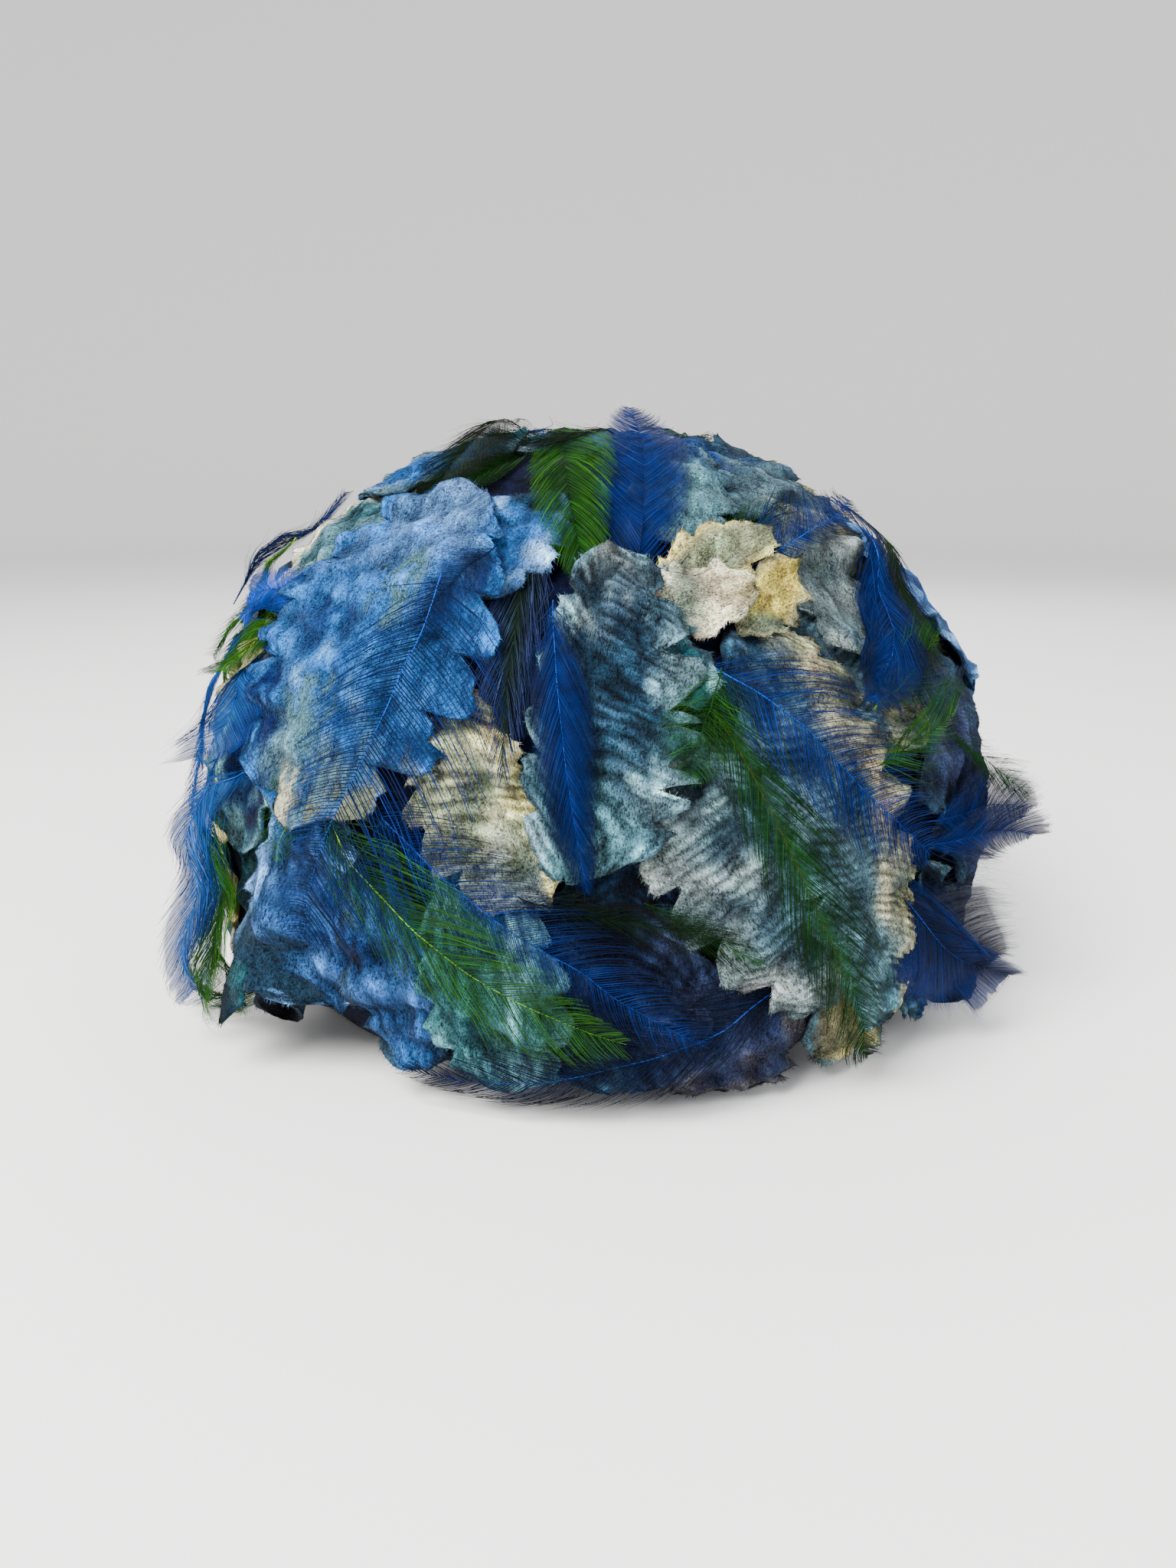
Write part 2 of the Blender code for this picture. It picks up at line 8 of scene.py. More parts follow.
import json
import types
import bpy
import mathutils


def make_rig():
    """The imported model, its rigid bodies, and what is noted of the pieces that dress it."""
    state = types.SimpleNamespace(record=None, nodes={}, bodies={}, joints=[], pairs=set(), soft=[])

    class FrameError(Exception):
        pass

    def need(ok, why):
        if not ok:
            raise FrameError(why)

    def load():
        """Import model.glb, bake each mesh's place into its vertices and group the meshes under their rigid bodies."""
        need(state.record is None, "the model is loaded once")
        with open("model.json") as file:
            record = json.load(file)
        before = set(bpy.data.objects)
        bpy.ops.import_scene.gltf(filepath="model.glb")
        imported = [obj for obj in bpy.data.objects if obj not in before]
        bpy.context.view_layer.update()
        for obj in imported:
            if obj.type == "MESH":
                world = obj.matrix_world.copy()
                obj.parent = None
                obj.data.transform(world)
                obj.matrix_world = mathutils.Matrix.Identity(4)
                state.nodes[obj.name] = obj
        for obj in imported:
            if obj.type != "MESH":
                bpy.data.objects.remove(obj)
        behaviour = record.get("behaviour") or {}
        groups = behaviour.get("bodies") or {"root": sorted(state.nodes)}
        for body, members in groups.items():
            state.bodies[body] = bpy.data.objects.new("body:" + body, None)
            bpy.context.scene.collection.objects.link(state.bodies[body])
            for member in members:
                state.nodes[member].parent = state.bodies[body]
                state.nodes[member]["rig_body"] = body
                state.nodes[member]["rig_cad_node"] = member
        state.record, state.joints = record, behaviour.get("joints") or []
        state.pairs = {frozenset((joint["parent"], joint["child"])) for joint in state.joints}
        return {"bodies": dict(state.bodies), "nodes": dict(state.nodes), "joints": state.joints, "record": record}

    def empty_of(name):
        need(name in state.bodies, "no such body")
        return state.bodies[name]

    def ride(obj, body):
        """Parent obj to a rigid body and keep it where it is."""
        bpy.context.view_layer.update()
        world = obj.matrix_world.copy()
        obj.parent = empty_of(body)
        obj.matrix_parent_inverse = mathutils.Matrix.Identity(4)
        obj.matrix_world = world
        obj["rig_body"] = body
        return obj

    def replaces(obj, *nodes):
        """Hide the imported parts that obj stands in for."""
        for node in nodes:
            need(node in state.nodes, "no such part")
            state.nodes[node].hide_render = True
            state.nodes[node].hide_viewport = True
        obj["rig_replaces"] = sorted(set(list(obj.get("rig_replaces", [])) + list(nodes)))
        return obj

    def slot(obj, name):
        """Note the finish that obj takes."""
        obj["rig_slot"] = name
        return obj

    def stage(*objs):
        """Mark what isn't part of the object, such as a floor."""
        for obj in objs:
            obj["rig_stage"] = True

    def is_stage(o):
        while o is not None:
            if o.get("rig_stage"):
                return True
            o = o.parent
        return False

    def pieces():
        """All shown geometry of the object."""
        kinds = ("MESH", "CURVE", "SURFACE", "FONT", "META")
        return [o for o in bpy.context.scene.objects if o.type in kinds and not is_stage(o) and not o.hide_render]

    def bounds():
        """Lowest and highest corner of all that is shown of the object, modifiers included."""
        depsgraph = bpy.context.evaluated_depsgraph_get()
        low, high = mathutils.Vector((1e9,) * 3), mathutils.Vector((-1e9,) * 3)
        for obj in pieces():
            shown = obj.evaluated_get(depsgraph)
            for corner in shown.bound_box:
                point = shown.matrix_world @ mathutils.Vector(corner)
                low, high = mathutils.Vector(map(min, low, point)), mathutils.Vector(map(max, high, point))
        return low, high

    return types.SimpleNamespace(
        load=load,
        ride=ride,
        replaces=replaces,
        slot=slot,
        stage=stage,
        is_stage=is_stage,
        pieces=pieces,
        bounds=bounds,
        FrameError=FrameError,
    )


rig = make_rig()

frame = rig.load()
CAD_BOX = [list(corner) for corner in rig.bounds()]

import json

import bpy
import numpy as np
from bpy.props import FloatProperty, FloatVectorProperty, IntProperty, PointerProperty
from mathutils import Vector

bl_info = {
    "name": "Velvet leaf and feather hat",
    "version": (1, 0, 0),
    "blender": (4, 5, 0),
    "location": "3D View > Sidebar > Hat",
    "description": "Builds the leaves, feathers and finishes of a domed velvet hat",
    "category": "Object",
}

MM = 0.001

# Dome, in metres.
CENTRE = np.array([0.0, 0.0, 0.058])
HALF_WIDTH = 0.115
HALF_DEPTH = 0.120
CROWN_RISE = 0.1035
TUCK_DEPTH = 0.0985
MAP_RADIUS = 0.122
CAP_WALL = 0.0020
HEM_START = 0.012
HEM_LOW = 0.0012

# Corners of a solid whose cosines with a direction differ by less than this lie along the same one.
SAME_DIRECTION = 4e-6

# Where the solids have corners across a leaf and a feather, and how many rows of them a feather has.
LEAF_COLUMNS = (-1.0, -0.5, 0.0, 0.5, 1.0)
FEATHER_COLUMNS = (-1.0, 0.0, 1.0)
FEATHER_ROWS = 12

# Outlines, as shares of a leaf's or feather's own width and length, and powers that shape them.
LEAF_END = 0.20
LEAF_FULLNESS = 0.60
LOBE_DEPTH = 0.09
LOBE_LEAN = 0.020
LOBE_EDGE_POWER = 3
LOBE_ROUNDNESS = 0.7
END_BULGE = 0.7 * LEAF_END
QUILL_END = 0.14
VANE_EARLY = 0.80
VANE_FULLNESS = 0.60
BARB_LEAN = 0.05
STRIP_LEAN = 0.022
STRIP_DEPTH = 0.10

# Rolled leaf ends: the solid's corners round and along, how narrow the tucked end is, the fine
# mesh's rows and sides, its wall in millimetres, and where the pinch is and how far it spreads.
TUBE_SIDES = 16
TUBE_ROWS = 5
TUCKED_END = 0.55
ROLL_ROWS = 30
ROLL_SIDES = 72
ROLL_WALL = 1.2
PINCH_AT = np.radians(110)
PINCH_SPREAD = np.radians(26)

# Velvet colours, sRGB.
VELVETS = {
    "cornflower": (0.10, 0.27, 0.47),
    "pale_blue": (0.26, 0.39, 0.55),
    "deep_blue": (0.01, 0.09, 0.24),
    "denim": (0.05, 0.165, 0.33),
    "midnight": (0.03, 0.06, 0.13),
    "steel": (0.10, 0.21, 0.36),
    "navy": (0.01, 0.02, 0.09),
    "slate": (0.075, 0.15, 0.21),
    "pale_slate": (0.21, 0.30, 0.34),
    "dark_slate": (0.02, 0.07, 0.12),
    "teal": (0.05, 0.21, 0.25),
    "sea": (0.13, 0.28, 0.30),
    "pale_teal": (0.235, 0.365, 0.40),
    "cream": (0.66, 0.64, 0.42),
    "white": (0.62, 0.62, 0.53),
    "yellow": (0.62, 0.57, 0.28),
    "grey": (0.31, 0.36, 0.37),
    "ash": (0.20, 0.235, 0.25),
    "stone": (0.40, 0.43, 0.34),
    "linen": (0.41, 0.41, 0.32),
    "purple": (0.12, 0.15, 0.25),
    "taupe": (0.17, 0.17, 0.19),
    "sand": (0.44, 0.41, 0.30),
    "rose": (0.66, 0.20, 0.26),
    "black": (0.01, 0.01, 0.02),
}

# Feather colours, sRGB.
DYES = {
    "sky": (0.05, 0.25, 0.48),
    "lilac": (0.14, 0.18, 0.34),
    "moss": (0.07, 0.13, 0.07),
    "bright_blue": (0.00, 0.24, 0.60),
    "royal": (0.00, 0.10, 0.31),
    "navy": (0.00, 0.04, 0.15),
    "ink": (0.00, 0.02, 0.07),
    "blue_quill": (0.06, 0.21, 0.50),
    "green": (0.03, 0.18, 0.02),
    "bright_green": (0.13, 0.31, 0.02),
    "dark_green": (0.01, 0.09, 0.01),
    "lime_quill": (0.38, 0.58, 0.01),
    "olive": (0.03, 0.06, 0.02),
    "brown_quill": (0.20, 0.17, 0.07),
    "black": (0.01, 0.01, 0.01),
}

# A leaf a row, as the solids are laid: layers grow upwards, azimuth 0 faces -Y and grows towards +X,
# heading 0 runs up the dome. Left and right are half widths seen from outside along the heading.
# Foot, tip and rim are the colours at the leaf's two ends and along its edge, and side says which
# edge takes the rim colour: -1 left, 1 right, 0 both. Ribs is their spacing, slant how they run:
# 0.9 is outwards and on towards the tip, and 0 is along the leaf. Scallop is their length. Slots
# stand without the velvet_ or feather_ that is put before them.
LEAF_FIELDS = (
    "name layer azimuth elevation heading length left right belly lobes slot"
    " centre foot tip rim side ribs slant scallop"
)
LEAVES = """
leaf_front_low_1 1 98 -2 176 112 48 48 0.50 4 slate slate dark_slate pale_slate cream 0 3.4 0.9 6
leaf_front_low_2 2 134 -1 184 114 48 46 0.50 4 cornflower cornflower deep_blue pale_blue pale_blue 0 0 0.9 5.5
leaf_front_low_3 3 170 -2 174 112 48 48 0.50 4 grey_blue grey slate cream cream 0 3.2 0.9 6
leaf_front_low_4 4 -154 -1 182 114 47 48 0.50 4 teal teal dark_slate pale_teal pale_teal 0 0 0.9 5.5
leaf_front_low_5 5 -118 -2 178 112 48 48 0.50 4 cornflower denim deep_blue cornflower pale_blue 0 3.4 0 6
leaf_side_low_left 6 -80 -3 183 104 46 40 0.50 4 slate slate denim pale_slate cream 0 0 0.9 5.5
leaf_side_low_right 6 76 -5 174 98 32 34 0.50 4 grey_blue slate purple denim slate 0 3.2 0 5.5
leaf_rim_sand 7 16 -18 172 42 21 20 0.50 4 sand purple dark_slate taupe taupe 0 0 0.9 5.5
leaf_rim_cream 8 33 -17 160 44 15 14 0.50 3 cream sand slate cream pale_slate 0 0 0.9 5.5
leaf_rim_slate 9 52 -15 152 58 16 17 0.50 4 slate denim dark_slate slate pale_slate 0 3.4 0 5.5
leaf_rim_midnight 10 3 -9 181 60 21 20 0.50 5 midnight midnight dark_slate slate purple -1 4.0 0.9 5.5
leaf_left_pale 11 -46 -4 176 54 14 16 0.50 4 teal sea pale_slate dark_slate teal 0 0 0.9 5
leaf_left_ribbed 12 -34 -3 172 56 17 20 0.50 4 cornflower steel denim steel pale_blue 0 4.2 0 5
leaf_rim_blue 13 -23 -9 174 58 13 14 0.55 4 cornflower steel deep_blue cornflower slate 0 4.0 0 5
leaf_rim_green 14 -12 -9 173 64 18 15 0.55 5 teal sea pale_teal pale_teal pale_teal -1 4.0 0 5.5
leaf_right_purple 16 56 11 162 82 26 24 0.50 5 grey_blue purple slate purple slate 0 0 0.9 5.5
leaf_left_cream 18 -60 15 172 58 17 17 0.50 4 cream pale_slate cream cream cream 0 0 0.9 5.5
leaf_left_slate 19 -47 13 186 56 16 20 0.55 4 slate deep_blue denim pale_teal pale_teal 0 0 0.9 5.5
leaf_back_cream 21 -13 14 148 66 10 20 0.60 5 cream stone deep_blue grey cream -1 4.0 0.9 5.5
leaf_right_low 25 19.5 3 150 80 12 25 0.40 5 slate pale_slate dark_slate grey grey 1 2.2 0.9 7.5
leaf_right_long 26 30 5 160 112 21 19 0.40 7 cream pale_slate slate pale_teal linen -1 2.4 0.9 8.5
leaf_crown 29 175 84 180 108 48 48 0.50 4 slate slate denim pale_slate pale_slate 0 3.2 0.9 6
leaf_front_top_1 30 83 42 176 112 42 36 0.50 4 cornflower denim slate cornflower pale_blue 0 3.4 0.9 5.5
leaf_front_top_2 31 126 41 183 112 42 42 0.50 4 slate pale_slate slate pale_teal cream 0 0 0.9 6
leaf_front_top_3 32 172 42 176 110 44 44 0.50 4 cream grey slate white cream 0 3.2 0.9 5.5
leaf_front_top_4 33 -141 41 181 112 44 42 0.50 4 teal cornflower denim pale_blue pale_blue 0 0 0.9 6
leaf_front_top_5 33.5 -96 42 178 110 44 40 0.50 4 grey_blue slate denim cream pale_slate 0 3.4 0.9 5.5
leaf_top_left_cream 34 -57 43 190 50 22 20 0.50 4 cream pale_teal teal white white 0 0 0.9 5
leaf_top_left_blue 35 -60 63 200 52 20 18 0.50 4 cornflower cornflower teal pale_blue pale_slate 0 0 0.9 5.5
leaf_top_grey 36 -15 44 196 44 16 17 0.50 4 grey_blue cornflower slate grey pale_blue 0 0 0.9 5.5
leaf_top_smooth 37 44 55 174 66 26 26 0.50 4 slate pale_slate denim sand slate 0 0 0.9 16
leaf_top_teal 38 21 54 200 58 13 15 0.50 4 teal pale_teal denim pale_teal pale_slate 0 0 0.9 5
leaf_right_grey 39 38 36 180 48 15 15 0.50 4 grey_blue grey stone pale_slate grey 0 0 0.9 5
leaf_right_yellow 43 25 33 50 26 9 8 0.50 3 sand yellow stone yellow linen 0 0 0.9 4.5
leaf_right_cream 44.5 18 39 66 36 9 8 0.55 4 cream stone pale_teal linen cream 0 0 0.9 5
leaf_right_white 45 14 33 258 30 9 11 0.55 3 cream white sand teal white 0 0 0.9 5
leaf_back_centre 47 -1 22 6 78 11 25 0.36 6 slate slate pale_teal ash pale_slate 0 4.2 1.1 6.5
leaf_left_cornflower 51 -32 29 190 94 36 38 0.55 6 cornflower cornflower pale_blue pale_slate cornflower 0 0 0.9 8
"""

# A leaf a row with no solid of its own, laid over what is below it.
SMALL_LEAVES = """
leaf_right_under 25.3 34 25 140 60 15 15 0.50 4 sand pale_slate slate linen linen 0 2.4 0.9 7
small_teal_leaf 44 10.5 25 166 20 6 7 0.50 3 teal teal pale_teal teal pale_teal 0 0 0.9 4.5
"""

# A feather a row: the same columns, then its bow, the tip lift and edge tilt that only a piece without
# a solid takes, and its colours near the quill, at the barbs' ends and on the quill. Angle is how far a
# barb leans off the quill, spacing the distance between barbs, veil how dense the vane between them
# is, loose how untidy they are, and down the share of the length at the foot that is fluff.
FEATHER_FIELDS = (
    "name layer azimuth elevation heading length left right bend lift tilt slot"
    " inner outer quill angle spacing veil loose down"
)
FEATHERS = """
feather_rim_blue 15 2 -17 -106 100 12 13 -4 4 0 royal_blue navy ink blue_quill 34 0.50 0.45 0.7 0.06
feather_right_navy 22 54 -12 122 64 17 19 3 12 -8 navy navy navy royal 38 0.26 0.97 1.0 0.10
feather_right_tip 23 60 2 100 66 12 14 -3 14 -6 royal_blue royal navy royal 38 0.30 0.90 1.0 0.10
feather_left_blue 24 -56 -6 -164 78 9 17 4 10 12 blue sky royal blue_quill 32 0.38 0.75 0.6 0.06
feather_left_green 24.5 -52 -9 -163 74 12 14 -4 9 6 green green bright_green dark_green 34 0.40 0.60 1.0 0.15
feather_centre_olive 27 -10 30 179 74 8 9 1 2 0 olive moss lilac black 17 0.50 0.50 1.2 0.10
feather_green_long 28 24 -2 154 118 11 10 3 4 0 green green dark_green brown_quill 26 0.50 0.38 0.8 0.12
feather_blue_long 29 28 13 131 82 20 14 2 4 0 royal_blue royal royal bright_blue 50 0.62 0.42 0.8 0.05
feather_left_side 29.5 -72 14 -172 60 14 12 2 5 4 blue sky royal blue_quill 38 0.40 0.70 0.8 0.08
feather_left_top 40 -72 30 -160 46 13 13 0 5 4 green bright_green green lime_quill 42 0.40 0.60 1.3 0.30
feather_top_left_navy 41 -76 39 -8 48 11 11 2 5 -2 navy royal navy royal 38 0.40 0.75 0.9 0.10
feather_right_dark 42 50 33 -158 72 18 15 -5 6 0 navy navy royal royal 38 0.60 0.25 0.7 0.08
feather_top_blue 42.5 12 60 11 104 13 13 2 8 0 royal_blue royal royal navy 36 0.38 0.85 0.6 0.06
feather_arc_navy 42.7 37 42 70 52 16 5 4 3 0 navy royal navy blue_quill 50 0.42 0.70 0.8 0.06
feather_top_green 46 -6 57 170 94 13 11 2 3 0 green green bright_green dark_green 34 0.50 0.72 0.6 0.08
feather_top_left_green 46.5 -44 64 160 64 14 12 2 4 0 green dark_green olive black 36 0.40 0.80 0.8 0.10
feather_centre_blue 48 -3 17 172 68 7 7 1 2 0 royal_blue royal navy blue_quill 24 0.46 0.90 0.4 0.15
feather_low_blue 49 -7.5 -2.5 124 96 13 11 0 4 0 royal_blue royal navy blue_quill 46 0.60 0.25 0.7 0.05
feather_low_green 50 -15 -3.5 122 86 12 13 5 4 0 green green bright_green lime_quill 38 0.62 0.25 0.9 0.12
feather_wide_blue 52 -26 13.5 -163 92 31 18 -5 3 0 blue navy royal bright_blue 66 0.80 0.16 0.7 0.05
"""

# A tuft a row with no solid of its own, in the feathers' columns.
TUFTS = """
tuft_centre_down 47.5 11.5 18 -160 26 9 9 0 3 0 green green bright_green green 60 0.28 0.60 1.6 1.00
tuft_left_bright 40.2 -55 26 156 28 13 10 2 3 7 green bright_green green lime_quill 40 0.48 0.92 0.5 0.06
tuft_left_fan 34.2 -51 18 158 34 12 12 -4 4 9 blue sky royal blue_quill 40 0.50 0.85 0.5 0.05
tuft_left_curl 41.5 -54 30 -101 32 9 10 8 3 4 navy bright_blue royal royal 42 0.48 0.90 0.4 0.05
tuft_left_low_fan 24.7 -50 -3 -168 60 10 11 4 7 8 blue sky royal blue_quill 30 0.50 0.90 0.5 0.05
tuft_left_low_green 24.9 -48 -9 -172 54 9 7 -6 3 5 green green bright_green dark_green 26 0.50 0.70 0.7 0.06
tuft_top_leaf_green 46.4 -32 60 190 38 10 10 2 3 0 green green dark_green dark_green 36 0.36 0.85 0.7 0.10
tuft_right_fan 43.8 40 29 -148 54 13 13 -7 3 -5 navy royal navy blue_quill 32 0.48 0.92 0.4 0.06
tuft_right_barbs 43.9 41 15 66 32 13 13 2 5 -4 green bright_green green green 36 0.40 0.18 1.0 0.12
tuft_low_dark 48.5 2 -1 100 42 5 7 2 4 0 green dark_green black black 22 0.36 0.25 1.2 0.20
tuft_low_green 50.5 11 -3 118 28 5 6 0 4 0 green green dark_green dark_green 22 0.38 0.15 1.3 0.25
tuft_right_lime 43.5 43 22 60 28 11 12 0 4 -3 green bright_green green lime_quill 38 0.40 0.15 1.1 0.15
tuft_right_spike 24.4 55 0 98 52 9 10 -3 6 -6 navy royal navy royal 28 0.46 0.95 0.5 0.05
tuft_right_vane 24.3 46 -9 132 54 14 20 8 5 -10 navy navy royal blue_quill 32 0.44 1.0 0.4 0.05
tuft_right_green 43.7 49 31 -148 48 10 8 -4 2 -3 green dark_green olive dark_green 34 0.50 0.85 0.6 0.12
tuft_right_low_green 24.2 60 8 130 34 7 7 0 6 0 green green dark_green green 32 0.38 0.40 1.3 0.25
tuft_left_curls 50.7 -36 8 -170 30 8 8 0 4 0 green bright_green green lime_quill 55 0.36 0.10 2.0 1.00
tuft_left_navy 51.5 -19 34 -150 30 9 8 0 3 0 navy navy royal navy 60 0.36 0.80 2.0 1.00
tuft_top_dark 46.6 -18 68 -100 40 8 7 0 3 0 green dark_green black black 34 0.38 0.60 1.0 0.15
tuft_arc_green 42.6 30 45 60 40 5 6 0 3 0 green dark_green green dark_green 34 0.40 0.40 1.2 0.20
tuft_front_royal 34.6 112 20 160 78 13 12 3 4 0 royal_blue royal navy blue_quill 38 0.80 0.60 0.7 0.08
tuft_front_green 34.7 150 26 -165 80 12 13 -4 4 0 green green dark_green dark_green 36 0.80 0.60 0.7 0.08
tuft_front_sky 34.8 -168 24 172 84 16 12 4 4 0 blue sky royal blue_quill 42 0.80 0.45 0.7 0.06
tuft_front_navy 34.9 -128 18 -158 76 12 14 -3 4 0 navy royal navy royal 38 0.80 0.65 0.7 0.08
tuft_front_lime 35.2 -95 22 165 70 11 12 3 4 0 green bright_green green lime_quill 38 0.80 0.45 0.8 0.10
tuft_crown_green 35.4 120 74 120 78 13 12 3 4 0 green green dark_green dark_green 36 0.80 0.60 0.7 0.08
tuft_crown_blue 35.5 -130 70 -150 82 13 13 -3 4 0 royal_blue royal royal blue_quill 40 0.80 0.55 0.7 0.08
"""

# A rolled leaf end a row. Slant is how much shorter its near wall is, so that the mouth shows. Inside is the dark
# colour of its inner wall, painted shade inside the tube.
ROLL_FIELDS = "name layer azimuth elevation heading length width height pinch slot outside inside slant"
ROLLS = """
rolled_leaf_left 7.5 -42 -12.5 184 27 16 8 0.60 teal slate black 10
rolled_leaf_right 10.5 57 -19 200 16 10 8 0.25 slate slate dark_slate 4.5
"""

# A cut in a leaf's edge a row: side -1 left or 1 right, where along the leaf, and how deep.
SLITS = {
    "leaf_back_centre": ((1, 0.24, 0.42), (1, 0.42, 0.26)),
    "leaf_back_cream": ((-1, 0.55, 0.20), (-1, 0.82, 0.22), (1, 0.45, 0.30)),
    "leaf_left_cornflower": ((-1, 0.84, 0.22), (-1, 0.70, 0.20)),
    "leaf_right_long": ((-1, 0.30, 0.16), (-1, 0.52, 0.20), (-1, 0.75, 0.16)),
    "leaf_rim_sand": ((-1, 0.86, 0.45), (1, 0.84, 0.40)),
    "leaf_right_white": ((1, 0.45, 0.12),),
}

# Marks a row: stains and patches of colour, a hole painted black as painted shade, and one patch of painted shade. The
# leaf, where along it and across it, the radius in millimetres, the colour.
SPOTS = (
    ("leaf_left_cornflower", 0.48, 0.45, 7.0, "denim"),
    ("leaf_left_cornflower", 0.36, -0.10, 8.0, "pale_teal"),
    ("leaf_left_cornflower", 0.80, 0.25, 9.0, "pale_teal"),
    ("leaf_left_cornflower", 0.90, -0.95, 8.0, "stone"),
    ("leaf_left_cornflower", 0.97, -0.50, 6.0, "stone"),
    ("leaf_left_cornflower", 1.00, 0.25, 8.0, "white"),
    # painted shade: a deep blue patch near the tip at one edge
    ("leaf_left_cornflower", 0.80, 0.85, 12.0, "deep_blue"),
    ("leaf_left_ribbed", 0.70, 0.85, 12.0, "slate"),
    ("leaf_left_ribbed", 0.95, 0.70, 8.0, "slate"),
    ("leaf_right_white", 0.85, -0.75, 6.0, "teal"),
    ("leaf_right_white", 0.86, 0.40, 1.6, "rose"),
    # painted shade: a black disc where a hole would show shade
    ("leaf_right_grey", 0.24, 0.35, 2.6, "black"),
)

# Velvet relief, in millimetres.
WALL = 1.3
WALL_EDGE = 0.35
EDGE_ROUND = 1.4
VEIN_DEPTH = 0.45
VEIN_WIDTH = 1.3
RIB_RELIEF = 0.50
RIB_WANDER = 0.5
RIB_WANDER_WAVE = 22.0
RUFFLE_RELIEF = 1.1
RUFFLE_WAVE = 12.0
RUFFLE_WANDER_WAVE = 30.0
CRUMPLE_RELIEF = 0.9
CRUMPLE_WAVE = 13.0
DIMPLE_RELIEF = 0.30
DIMPLE_WAVE = 5.0

# Ribs closer together than this stand up less.
WIDE_RIB = 4.0

# Cuts of a leaf's edge: widths and waves in millimetres, depths as shares of what is cut.
SLIT_WIDTH = 0.8
NOTCH_WIDTH = 1.6
NOTCH_DEPTH = 0.15
SCALLOP_DEPTH = 0.24
SCALLOP_BEND = 0.02
SCALLOP_ROUNDNESS = 0.6
FRAY_DEPTH = 0.35
FRAY_WAVE = 1.6

# How far a piece lies over what is below it, and how much higher a leaf is where it hides pile.
LAY_GAP = 0.25
COVERED = 0.8

# The cap: the share of the pile's density on it, how far up its first row of faces the pile begins,
# and its rows and columns of corners.
CAP_SHARE = 0.2
NAP_START = 0.7
CAP_ROWS = 25
CAP_COLUMNS = 97

# Hairs of the pile: how they swirl together and stray alone, how far those of the edge flare out,
# how deep a hair stands in its leaf, in millimetres, and how much their shades differ.
SWIRL = 0.5
SWIRL_WAVE = 11.0
HAIR_STRAY = 0.35
EDGE_FLARE = 1.6
HAIR_SINK = 0.1
HAIR_SHADES = 0.60

# Waves of a leaf's paint in millimetres and how strongly they darken the velvet, then how strongly painted shade
# darkens rib grooves and hollows and painted light brightens what stands up.
PATCH_WAVE = 16.0
STREAK_WAVE = 3.4
FINE_WAVE = 2.2
PATCH_SHADE = 0.42
STREAK_SHADE = 0.30
FINE_SHADE = 0.22
RIB_PAINTED_SHADE = 0.62
HOLLOW_PAINTED_SHADE = 0.40

# Where the colours of foot and tip begin and are whole, along the leaf, and that of the rim, across
# it: for both edges, and for one edge alone.
FOOT_REACH = (0.42, 0.05)
TIP_REACH = (0.68, 0.98)
RIM_REACH = (0.55, 0.98)
ONE_RIM_REACH = (0.08, 0.80)

# The spacing at which a barb has its usual thickness, and the height of a feather's vane, barbs
# and quill over what they lie on, in millimetres.
BARB_SPACING = 0.40
VANE_LIFT = 0.55
BARB_LIFT = 0.75
QUILL_LIFT = 0.85

# How untidy barbs lean, in degrees: neighbours together, each alone, and in the fluff. Then how far
# such neighbours reach in millimetres, and how much a barb bends towards the tip, waves and curls.
CLUMP_LEAN = 3.5
STRAY_LEAN = 1.1
FLUFF_LEAN = 35
CLUMP_WAVE = 5.0
BARB_BEND = 0.45
BARB_WAVE = 0.10
BARB_CURL = 1.2

# The share of its length for which a feather gets barbs at their spacing, where the first barb is
# and how much of the quill they spread over, how far past the tip a barb may end, and how much a
# barb thins out towards its end. Then the veils between which the vane goes from thin to whole.
QUILL_SHARE = 0.95
FIRST_BARB = 0.02
BARB_SPAN = 0.965
TIP_ROOM = 0.03
BARB_TAPER = 0.72
THIN_VEIL = (0.55, 0.90)

# Points along and across a feather that its height is laid out on, points along its quill, and the
# vane's rows of points along the quill and its steps out from it.
VANE_ROWS = 49
VANE_COLUMNS = 17
QUILL_POINTS = 33
VEIL_ROWS = 60
VEIL_STEPS = 5

# A leaf's mesh: the fewest rows and columns, how much wider than long its cells are, and how far
# its columns crowd towards the edges.
LEAST_ROWS = 14
LEAST_COLUMNS = 10
CELL_STRETCH = 1.4
EDGE_CROWDING = 0.45

# How often heights are evened out upwards under a leaf, under a tuft, and where a piece would cut
# what lies below it.
LEAF_TURNS = 12
TUFT_TURNS = 10
CLEAR_TURNS = 4

# Map of what is laid: half its width in cells, and the angle of one cell.
GROUND_CELLS = 420
GROUND_STEP = 0.0053

# Added where a length or a share that may be nought divides.
TINY = 1e-9

# The studio's floor: a disc of this radius whose edge rises in a quarter round of this run and
# height, in metres.
FLOOR_RADIUS = 2.4
FLOOR_RUN = 1.4
FLOOR_RISE = 2.6


def worth(word):
    """What a table's word stands for: a whole number, a number, or the word itself."""
    for kind in (int, float):
        try:
            return kind(word)
        except ValueError:
            continue
    return word


def rows(fields, table):
    """The rows of a table as dictionaries of its column names. A line is a row, a word a value."""
    names = fields.split()
    return [dict(zip(names, map(worth, line.split()))) for line in table.splitlines() if line]


def seed_of(row):
    """The seed of a row's random draws: ten times its layer."""
    return int(row["layer"] * 10)


def node_of(row):
    """The name of the solid that a row's piece replaces, or None where it has none."""
    return row["name"] if row["name"] in frame["nodes"] else None


def half_width(row, column):
    """The half width on the side of the middle that a column lies on."""
    return np.where(column < 0, row["left"], row["right"])


def fluff_at(row, foot):
    """How fluffy a barb is: 1 at the quill's foot, falling evenly to 0 at the end of the down."""
    return np.clip(1 - foot / max(row["down"], TINY), 0, 1) * (row["down"] > 0)


